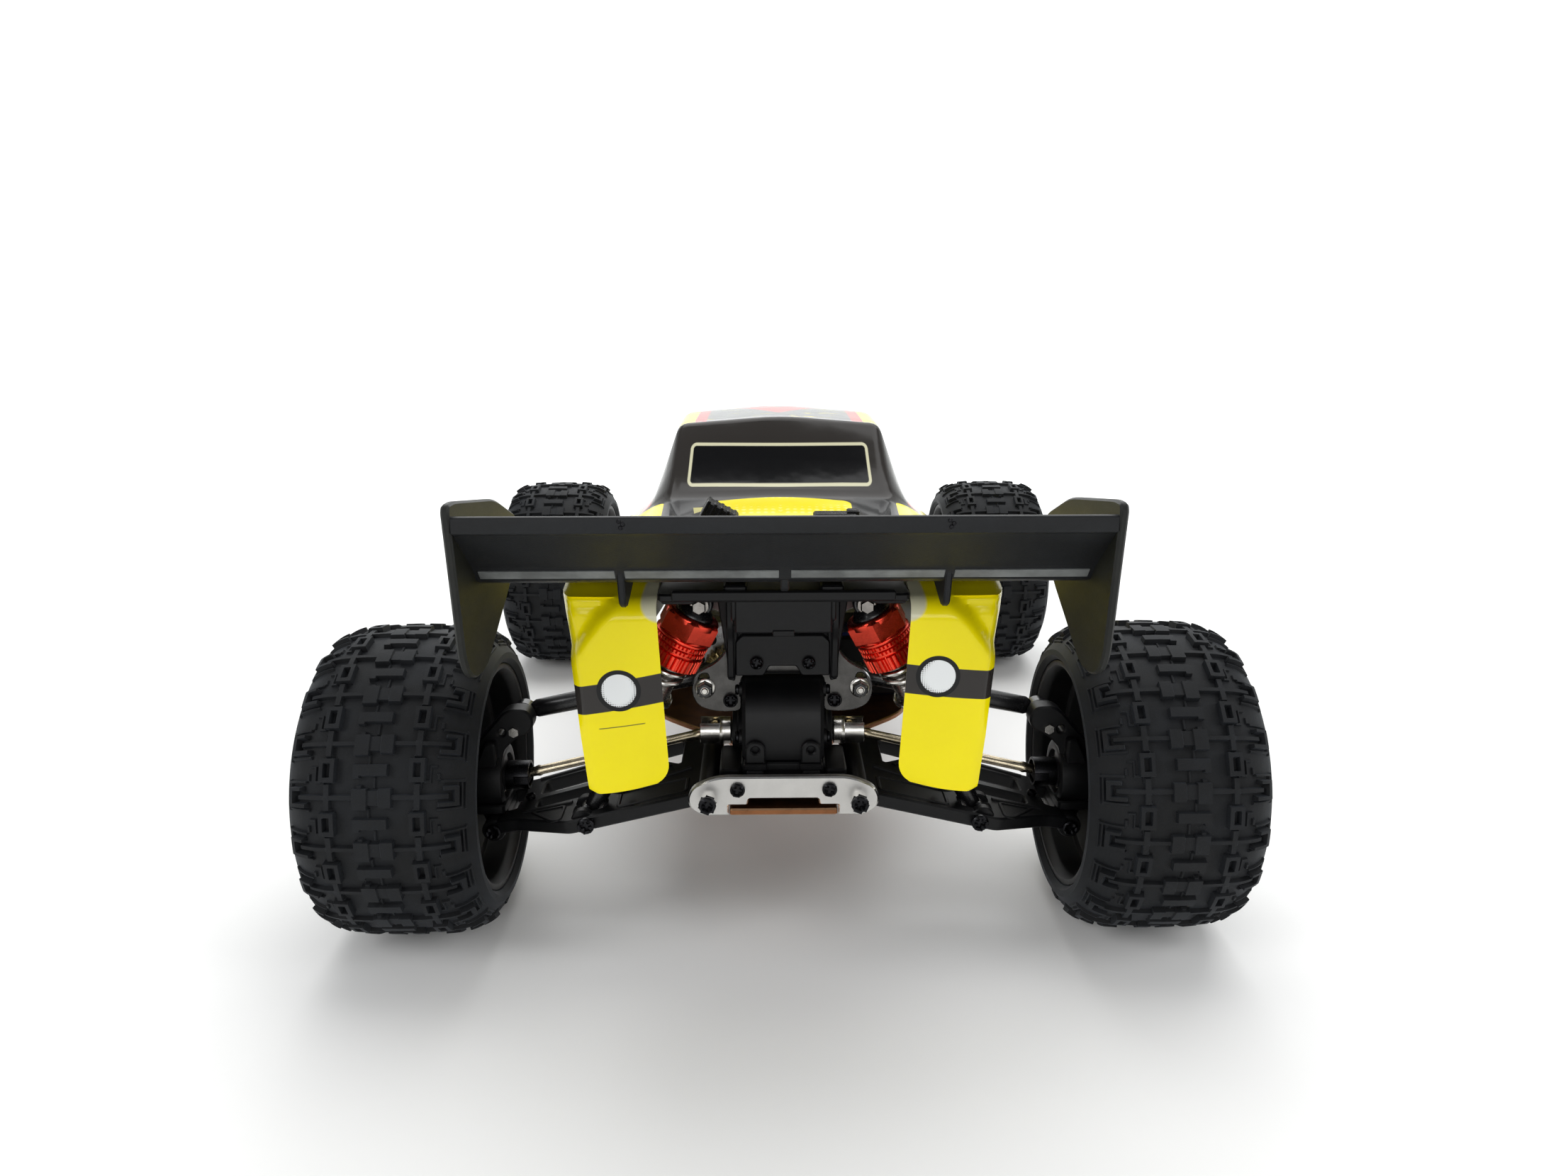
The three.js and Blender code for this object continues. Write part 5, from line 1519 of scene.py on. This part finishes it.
# areas marked by signed distances in the car's own coordinates, mixed one over another
def paintLook():
    look = Look("shellPaint", Coat_Weight=0.04, Coat_Roughness=0.05, Specular_IOR_Level=0.24)
    x, y, z = look.axes()
    side, y = abs(x), y - rearAxle
    flecks = look.noise(0.5, 4, 0.65)
    clouds = look.noise(0.05, 3, 0.5)
    yellow = look.mix(clouds, paints["yellow"], shade(paints["yellow"], 0.9))
    colour = yellow
    # lower sides: a dark wedge with a red edge, rising towards the front
    sill = z - y * 0.18 - 52
    onSide = side.step(46, 47) * y.step(25, 26) * below(y, 212)
    colour = look.mix(onSide * below(sill, 10), colour, paints["grey"])
    colour = look.mix(onSide * sill.within(10, 13), colour, paints["red"])
    slash = z + y * 0.9 - 190
    colour = look.mix(onSide * slash.within(-6, 12) * sill.step(12.8, 13.2), colour, paints["grey"])
    colour = look.mix(onSide * slash.within(14, 18) * sill.step(12.8, 13.2), colour, paints["red"])
    # deck and cab in warm grey, parted from the yellow shoulders by a stepped line
    cabEdge = side - y.step(46, 52) * 9.5 - 39
    upper = below(cabEdge, 0) * z.step(110, 111)
    cab = y.within(14, 150, 0.2) * upper
    colour = look.mix(cab, colour, paints["grey"])
    colour = look.mix(side.within(25, 38, 1) * y.within(28.5, 47, 0.8) * z.step(112, 113), colour,
                      paints["black"])
    colour = look.mix(cab * side.within(44, 47.4) * y.within(52, 61), colour, paints["red"])
    onRear = below(y, 71)
    panel = boxDistance(look, x, y - 34 + x * x * 0.004, 23.5, 12.5, 3)
    panelYellow = look.mix(below(look.dots(0.42), 0.3, 0.12) * 0.5, yellow, (0.95, 0.86, 0.25))
    colour = look.mix(below(panel) * z.step(112, 113) * below(y, 47.2), colour, panelYellow)
    # rear window with its pale border
    window = boxDistance(look, x, z - 135.1, (z - 135.1) * -0.09 + 30.3, 5.9, 1.3)
    colour = look.mix(below(window, 0.7) * onRear * y.step(49, 50), colour, paints["cream"])
    glass = below(window, -0.25) * onRear * y.step(49, 50)
    # side windows and windscreen
    sideWindow = boxDistance(look, y - 106 + (z - 132) * 0.4, z - 132, 27, 7.6, 3)
    onCabSide = side.step(30, 31) * below(side, 45)
    colour = look.mix(below(sideWindow, 0.7) * onCabSide, colour, paints["cream"])
    glass = glass.most(below(sideWindow, -0.3) * onCabSide)
    screen = boxDistance(look, x, y - 159, 28.5, 12.5, 4)
    onScreen = z.step(108, 109)
    colour = look.mix(below(screen, 0.8) * onScreen, colour, paints["cream"])
    glass = glass.most(below(screen, -0.3) * onScreen)
    colour = look.mix(glass, colour, paints["black"])
    # roof: streaked silver, red and yellow corner patches and a broken red arrow
    onRoof = z.step(143.4, 144) * y.within(71, 146, 0.2)
    streaks = look.noise(0.16, 4, 0.7, (0.5, 2.2, 1))
    roof = look.mix(streaks.step(0.45, 0.62), paints["silver"], shade(paints["silver"], 0.35))
    roof = look.mix(streaks.step(0.6, 0.64) * 0.8, roof, paints["yellow"])
    arrow = side * 0.9 - (y - 84) * 0.5
    roof = look.mix(arrow.within(-9, 1, 0.4) * below(side, 17) * y.step(74, 75), roof, paints["red"])
    roof = look.mix(side.within(25.5, 29.5), roof, paints["red"])
    roof = look.mix(side.step(29.4, 29.7), roof, paints["yellow"])
    colour = look.mix(onRoof, colour, roof)
    # bonnet: dark centre, thin red edges
    onBonnet = y.step(174, 174.6)
    taper = side + (y - 174) * 0.09
    colour = look.mix(onBonnet * below(taper, 14), colour, paints["grey"])
    colour = look.mix(onBonnet * taper.within(15, 17), colour, paints["red"])
    # tail flaps: a dark band that falls outwards, with a lamp of dots in a black ring
    onFlap = below(y, -20) * below(z, 113.2)
    right = x.step(-1, 1)
    band = z - right * 3.2 - 87.2 + (side - 45) * (right * -0.08 + 0.17)
    colour = look.mix(onFlap * band.within(-4.2, 4.2, 0.1), colour, paints["grey"])
    nick = (z - 78.2 - (x + 44) * 0.13).within(-0.16, 0.16, 0.08) * x.within(-50.6, -38, 0.3)
    colour = look.mix(onFlap * nick * 0.8, colour, paints["grey"])
    notch = ((side - 33) * (side - 33) + (z - 113) * (z - 113)).maths("SQRT")
    colour = look.mix(below(y, -16) * below(notch, 5.2, 0.5), colour, paints["cream"])
    dx, dz = side + right * 3 - 44.8, z - right * 3.6 - 88.6
    lamp = (dx * dx + dz * dz).maths("SQRT")
    colour = look.mix(onFlap * below(lamp, 6.0, 0.08), colour, paints["black"])
    ringed = look.mix(below(look.dots(1.7) - lamp.step(2.6, 5.2) * 0.42, 0.0, 0.05), paints["white"],
                      (0.03, 0.03, 0.03))
    colour = look.mix(onFlap * below(lamp, 4.75, 0.08), colour, ringed)
    colour = look.mix(flecks.step(0.72, 0.84) * 0.12, colour, (0.5, 0.5, 0.46))
    look.feed("Base Color", colour)
    look.feed("Roughness", clouds * 0.08 + flecks * 0.08 + 0.07)
    look.bump(clouds + flecks * 0.04, 0.25)
    return look.material


looks["paint"] = paintLook()
looks["paintInside"] = moulded("shellInside", (0.42, 0.38, 0.09), 0.3, grain=0.006, streak=0.15)
looks["paintEdge"] = moulded("shellEdge", (0.72, 0.7, 0.48), 0.35, grain=0.01, streak=0.1)
shellLooks = ["paint", "paintInside", "paintEdge"]
piece("paintedShell", shellSheet(), shellLooks, "chassis", ["body_shell"], 40)
piece("tailFlaps", mirrored(flapSheet()), shellLooks, "chassis", ["body_shell"], 40)


# body posts with their spring clips, and the two blocks on the deck behind the cab
def clipShape(x, y, z):
    post = turned([(-14, 2.2), (3.6, 2.2), (4.2, 1.6)], 20).at(x, y, z)
    a = np.linspace(-0.1, 1.06, 26) * turn
    path = np.stack([x + 1.9 * np.cos(a), y + 2.2 * np.sin(a) + 2, z + 1.4 + 0.06 * a], -1)
    leg = np.linspace(0, 1, 8)[:, None]
    legs = [np.array([(x + side * 1.0, y + 1, z + 1.6)]) * (1 - leg) + np.array([(x + side * 0.4, y - 8,
                                                                                  z + 1.9)]) * leg
            for side in (-1, 1)]
    wires = [carried(line, circle(0.5, 8), finish=1) for line in [path] + legs]
    washer = turned([(0, 4.2), (0.7, 4.2), (0.9, 3.6)], 28, ease=0.1).at(x, y, z)
    return joined([post, washer] + wires)


clips = joined(clipShape(side * 12, rearAxle + 207, 104.4) for side in (-1, 1))
piece("bodyClips", clips, ["nylonGloss", "steel"], "chassis")


# turned about Y round an origin
def tilted(shape, angle, origin):
    c, s = math.cos(angle), math.sin(angle)
    x, y, z = (shape.points - origin).T
    return Shape(np.stack([c * x + s * z, y, -s * x + c * z], -1) + origin, shape.faces)


deckBlocks = tilted(joined([roundedBlock((-25.5, -14.5), (16, 23), (122.6, 128.6), 1, 0.5)] +
                           [roundedBlock((-25.3 + i * 2.2, -24.2 + i * 2.2), (15.9, 23.1), (122.8, 128.8),
                                         0.3, 0.2)
                            for i in range(5)]), 0.5, (-20, 20, 124))
deckBlocks = deckBlocks + joined([
    roundedBlock((10, 23.6), (16, 22), (121.6, 126.2), 0.9, 0.5),
    roundedBlock((8.4, 12), (15.4, 22.6), (121, 123.6), 0.9, 0.5),
    roundedBlock((20.4, 24.4), (17, 21), (125, 127.2), 0.6, 0.4),
])
piece("deckBlocks", deckBlocks.at(0, rearAxle, 0), ["nylonGloss"], "chassis")
print("shell made")


# drive line and electrics under the shell
# straight-flanked teeth round a wheel
def gearOutline(teeth, tip, root):
    s = np.arange(teeth)[:, None] + np.array([-0.32, -0.14, 0.14, 0.32])[None, :]
    radius = np.broadcast_to([root, tip, tip, root], s.shape)
    angle = s / teeth * turn
    return np.stack([radius * np.cos(angle), radius * np.sin(angle)], -1).reshape(-1, 2)


shaftMiddle = middleOf("centre_shaft")
pinionMiddle = middleOf("motor_pinion")
spurY = boxOf("motor_pinion")[0][1] + 4
shaftLow, shaftHigh = boxOf("centre_shaft")


# the spur gear, its boss, the shaft and a cup at each end
def centreShaftShape():
    height = shaftMiddle[2]
    spur = plate(gearOutline(34, 13.1, 11.5), spurY - 4, spurY + 4, chamfer=0.3,
                 holes=[circle(2.0, 20, (7.4 * math.cos(a), 7.4 * math.sin(a)))
                        for a in np.arange(5) / 5 * turn + 0.3])
    shapes = [
        spur.aimed((0, 0, height), (0, 1, 0)),
        turned([(spurY - 5.2, 4.6), (spurY + 5.2, 4.6)], 28, ease=0.5).aimed((0, 0, height), (0, 1, 0)),
        turned([(shaftLow[1], 1.8), (shaftHigh[1], 1.8)], 20, finish=1).aimed((0, 0, height), (0, 1, 0)),
    ]
    for start, sign in ((shaftLow[1], 1), (shaftHigh[1], -1)):
        cup = turned([(0.2, 2.45), (0.2, 3.9), (8.6, 3.9), (8.9, 3.5), (8.9, 2.45)], 28, ring=True, finish=1,
                     ease=0.2)
        shapes.append(cup.aimed((0, start, height), (0, sign, 0)))
    return joined(shapes)


# the small gear with its boss and grub screw
def pinionShape():
    gear = plate(gearOutline(17, 6.35, 4.9), spurY - 4, spurY + 4, chamfer=0.3)
    boss = turned([(spurY + 3.8, 3.4), (spurY + 5.9, 3.4)], 20, ease=0.3)
    screw = turned([(0, 0.9), (3.2, 0.9)], 8, finish=1).aimed((0, spurY + 5, 0), (0, 0, 1))
    return ((gear + boss).aimed((0, 0, 0), (0, 1, 0)) + screw).at(pinionMiddle[0], 0, pinionMiddle[2])


motorLow, motorHigh = boxOf("motor")
motorMiddle = middleOf("motor")


# the can with a vented end bell, as rings along the motor's own axis
def motorShape():
    y0, y1 = motorLow[1], motorHigh[1]
    can = turned([(y0, 12.4), (y0 + 0.8, 13.9), (y1 - 7, 13.9), (y1 - 6.6, 13.5)], 56)
    bell = turned([(y1 - 6.8, 13.6), (y1 - 1.2, 13.6), (y1, 12.2), (y1, 6.2), (y1 - 1, 5.4)], 48, finish=1,
                  ease=0.4)
    boss = turned([(y0 - 0.4, 4.6), (y0 + 1, 4.6)], 28, ease=0.2)
    vents = joined(turned([(0, 2.1), (0.35, 1.8)], 14, finish=1).aimed(
        (8.6 * math.cos(a), y0 - 0.02, 8.6 * math.sin(a)), (0, -1, 0)) for a in np.arange(6) / 6 * turn)
    fins = joined(turned([(y, 14.0), (y + 0.9, 14.0)], 56, ease=0.2) for y in np.arange(y0 + 9, y1 - 12, 2.0))
    body = (can + bell + boss + fins).aimed((0, 0, 0), (0, 1, 0))
    return (body + vents).at(motorMiddle[0], 0, motorMiddle[2])


# a circle carried along a line whose corners are eased
def wire(points, radius, finish):
    line = easedRows(np.asarray(points, float)[:, None], 6, 8)[:, 0]
    return carried(line, circle(radius, 10), up=(0.13, 0.31, 0.94), finish=finish)


batteryLow, batteryHigh = boxOf("battery")
escLow, escHigh = boxOf("speed_controller")
servoLow, servoHigh = boxOf("servo")


# a wrapped block with a dark end, a label and two straps
def batteryShape():
    (x0, y0, z0), (x1, y1, z1) = batteryLow, batteryHigh
    shapes = [roundedBlock((x0, x1), (y0 + 2, y1), (z0, z1), 2.4, 1.2),
              roundedBlock((x0 + 1, x1 - 1), (y0, y0 + 4), (z0 + 1, z1 - 1), 1.2, 0.8, finish=1),
              roundedBlock((x0 + 4, x1 - 4), (y0 + 24, y1 - 18), (z1 - 0.2, z1 + 0.25), 2, 0.1, finish=2)]
    strap = eased([(x0 - 0.5, z0 + 3), (x0 - 0.5, z1 + 0.9), (x1 + 0.5, z1 + 0.9), (x1 + 0.5, z0 + 3),
                   (x1 + 0.1, z0 + 3),
                   (x1 + 0.1, z1 + 0.3), (x0 - 0.1, z1 + 0.3), (x0 - 0.1, z0 + 3)], 0.4, 3, True)
    return joined(shapes + [plateXZ(strap, y, y + 13, chamfer=0.15, finish=1) for y in (-48, 14)])


# a box under a row of thin cooling fins
def escShape():
    (x0, y0, z0), (x1, y1, z1) = escLow, escHigh
    shapes = [roundedBlock((x0, x1), (y0, y1), (z0, z1 - 6), 2.2, 0.9),
              roundedBlock((x0 + 3, x1 - 3), (y0 + 3, y1 - 3), (z1 - 6.4, z1 - 4.6), 1, 0.4, finish=1)]
    shapes += [roundedBlock((x, x + 1), (y0 + 4, y1 - 4), (z1 - 5, z1 - 0.4), 0.3, 0.2, finish=1)
               for x in np.arange(x0 + 4, x1 - 5, 2.35)]
    return joined(shapes)


# a case, its lid with four screws, and the output boss
def servoShape():
    (x0, y0, z0), (x1, y1, z1) = servoLow, servoHigh
    shapes = [roundedBlock((x0, x1), (y0 + 0.4, y1 - 0.4), (z0, z1 - 7.2), 1.2, 0.7),
              roundedBlock((x0, x1), (y0, y1), (z1 - 7, z1 - 1.4), 1.4, 0.9),
              turned([(z1 - 1.6, 5.2), (z1 - 0.2, 4.8)], 28, finish=1, ease=0.2).at((x0 + x1) / 2, y1 - 9, 0)]
    shapes += [screwHead(1.3, 0.5).at(x, y, z1 - 1.5) for x in (x0 + 2.6, x1 - 2.6)
               for y in (y0 + 2.6, y1 - 2.6)]
    return joined(shapes)


# leads between the motor, the controller, the cells and the servo
def leadsShape():
    return joined([
        wire([(-16, 34, 62), (-12, 42, 64), (0, 40, 78), (16, 38, 72), (18, 35.8, 66)], 1.5, 0),
        wire([(-20, 34, 60), (-14, 44, 62), (0, 44, 76), (22, 41, 70), (24, 35.8, 64)], 1.5, 1),
        wire([(-15, -8, 62), (-12, -13, 66), (-14, -15, 70), (-16, -18, 70)], 1.4, 0),
        wire([(-24, -8, 62), (-25, -12, 68), (-24, -16, 71), (-23, -18.5, 71)], 1.4, 2),
        wire([(-32, 34, 62), (-33, 38, 58), (-33, 42, 60)], 1.1, 1),
    ])


# a drum with a flange and a tapering lever
def crankShape():
    low = boxOf("servo_saver")[0]
    x, y = -8, frontAxle - 46
    lever = eased([(x - 4, y), (x + 4, y), (x + 3, y + 21.6), (x - 3, y + 21.6)], 2.6, 5, True)
    return joined([turned([(low[2], 4.9), (58, 4.9), (60, 3.4)], 32, ease=0.5).at(x, y, 0),
                   turned([(52.8, 5.0), (56, 5.0)], 32, ease=0.4).at(x, y, 0),
                   plate(lever, 51.7, 54.1, chamfer=0.4)])


# a bar with a screw at each end
def rackShape():
    low, high = boxOf("steering_link")
    top = high[2] - 0.5
    bar = roundedBlock((low[0], high[0]), (low[1], high[1]), (low[2], top), 2.4, 0.3, edge=1)
    return bar + joined(screwHead(1.8, 0.5, "hex").at(x, (low[1] + high[1]) / 2, top).finished(1)
                        for x in (-20.6, 20.6))


piece("propShaft", centreShaftShape(), ["case", "darkSteel"], "centre_shaft", ["centre_shaft"])
piece("pinionGear", pinionShape(), ["brass", "blackScrew"], "motor_pinion", ["motor_pinion"])
piece("motorCan", motorShape(), ["canMetal", "case"], "chassis", ["motor"])
piece("cellPack", batteryShape(), ["wrap", "case", "lampFace"], "chassis", ["battery"])
piece("speedController", escShape(), ["case", "graphiteEdge"], "chassis", ["speed_controller"])
piece("steeringServo", servoShape(), ["case", "brass"], "chassis", ["servo"])
piece("powerLeads", leadsShape(), ["wireRed", "wireBlack", "wireBlue"], "chassis")
piece("steeringCrank", crankShape(), ["nylon"], "servo_saver", ["servo_saver"])
piece("steeringRack", rackShape(), ["satin", "satinEdge"], "steering_link", ["steering_link"])


# front bumper: the pin plate and a ribbed wedge
def bumperShape():
    half = [(0, 49.4), (15.9, 49.4), (15.9, 47.1), (24, 47.1), (27, 49.6), (27.6, 52.6), (26, 56),
            (19.6, 58.9), (0, 58.9)]
    outline = mirroredOutline(half, [0, 0.5, 0.3, 3, 3, 3, 4, 4, 0], 4)
    wedge = [(28.2, 47.3), (44, 47.3), (55.3, 53.6), (55.3, 58.2), (52.8, 60.8), (49, 60.8), (49, 57),
             (46, 55.8), (28.2, 53.4)]
    shapes = [plateXZ(outline, 26, 28.5, chamfer=0.4),
              plateYZ(wedge, -30.8, 30.8, chamfer=0.9, ease=1.2, steps=4)]
    rib = [(28.2, 50), (50, 52), (50, 59.6), (41.8, 60.6), (28.2, 57.6)]
    shapes += [plateYZ(rib, x - 1, x + 1, chamfer=0.3, ease=1.4, steps=4)
               for x in (-27, -16, -5.4, 5.4, 16, 27)]
    return joined(shapes)


def bumperScrews():
    return joined([screwHead(2.3, 1.4).aimed((side * 10.6, 36, 55.6), (0, 0.1, 1)) for side in (-1, 1)] +
                  [screwHead(2.3, 1.3).aimed((side * 22.2, 28.4, 51.5), (0, 1, 0)) for side in (-1, 1)])


piece("frontBumper", atEnd(bumperShape(), "front"), ["nylon"], "chassis", ["front_bumper"])
piece("bumperScrews", atEnd(bumperScrews(), "front"), ["blackScrew"], "chassis")
print("inside made")


# floor, light and camera
stageSet = {"floorSize": 4.0, "backBend": 0.9, "floorDrop": 0.0002}


# a floor that curves up behind: the profile along Y carried across X
def makeStage():
    s = np.linspace(0, 1, 13) * math.pi / 2
    half, bend = stageSet["floorSize"] / 2, stageSet["backBend"]
    far = half - bend + bend * np.sin(s)
    up = bend - bend * np.cos(s)
    y = np.concatenate([[-half], far, [half]]) / mm
    z = np.concatenate([[0], up, [half * 2]]) / mm - stageSet["floorDrop"] / mm
    x = np.array([-3, 3]) * half / mm
    grid = np.stack(np.broadcast_arrays(x[None, :], y[:, None], z[:, None]), -1)
    shape = gridShape(grid)
    mesh = bpy.data.meshes.new("floor")
    mesh.from_pydata((shape.points * mm).tolist(), [], shape.faces[0][0].tolist())
    mesh.shade_smooth()
    floor = bpy.data.objects.new("floor", mesh)
    bpy.context.scene.collection.objects.link(floor)
    look = Look("paperFloor", roughness=0.9, Emission_Strength=0.55)
    distance = look.axes()[1]
    look.feed("Base Color", look.mix(look.noise(0.004, 2), (0.86, 0.86, 0.85), (0.9, 0.9, 0.89)))
    look.feed("Emission Color", look.mix(distance.step(250, 900), (0, 0, 0), (0.97, 1, 0.99)))
    mesh.materials.append(look.material)


# a rectangular lamp aimed at a target
def softLight(name, place, target, size, watts, colour=(1, 1, 1)):
    lamp = bpy.data.lights.new(name, "AREA")
    lamp.shape = "RECTANGLE"
    lamp.size, lamp.size_y = size
    lamp.energy = watts
    lamp.color = colour
    holder = bpy.data.objects.new(name, lamp)
    holder.location = place
    holder.rotation_euler = (Vector(target) - Vector(place)).to_track_quat("-Z", "Y").to_euler()
    bpy.context.scene.collection.objects.link(holder)


makeStage()
softLight("topSoft", (0.1, 0.3, 1.3), (0, 0, 0), (1.6, 1.1), 14)
softLight("leftSoft", (-1.1, -0.8, 0.8), (0, -0.05, 0.06), (0.5, 0.8), 7)
softLight("rightSoft", (1.2, -0.5, 0.7), (0, -0.05, 0.06), (0.5, 0.8), 6)
softLight("backSoft", (0, 1.3, 0.8), (0, 0, 0.1), (1.4, 0.8), 5)
softLight("frontSoft", (0, -1.3, 0.35), (0, -0.1, 0.08), (0.9, 0.3), 3.4)

world = bpy.data.worlds.new("studio")
world.use_nodes = True
world.node_tree.nodes["Background"].inputs["Color"].default_value = (0.95, 0.97, 1.0, 1)
world.node_tree.nodes["Background"].inputs["Strength"].default_value = 0.3
bpy.context.scene.world = world

cameraView = {"place": (-0.0045, -0.431, 0.195), "pitch": 15.67, "yaw": -0.93, "lens": 24.97}
lens = bpy.data.cameras.new("camera")
lens.sensor_width = 36
lens.lens = cameraView["lens"]
camera = bpy.data.objects.new("camera", lens)
camera.location = cameraView["place"]
camera.rotation_euler = (math.radians(90 - cameraView["pitch"]), 0, math.radians(cameraView["yaw"]))
bpy.context.scene.collection.objects.link(camera)
bpy.context.scene.camera = camera
bpy.context.scene.view_settings.view_transform = "Standard"
print("stage set")
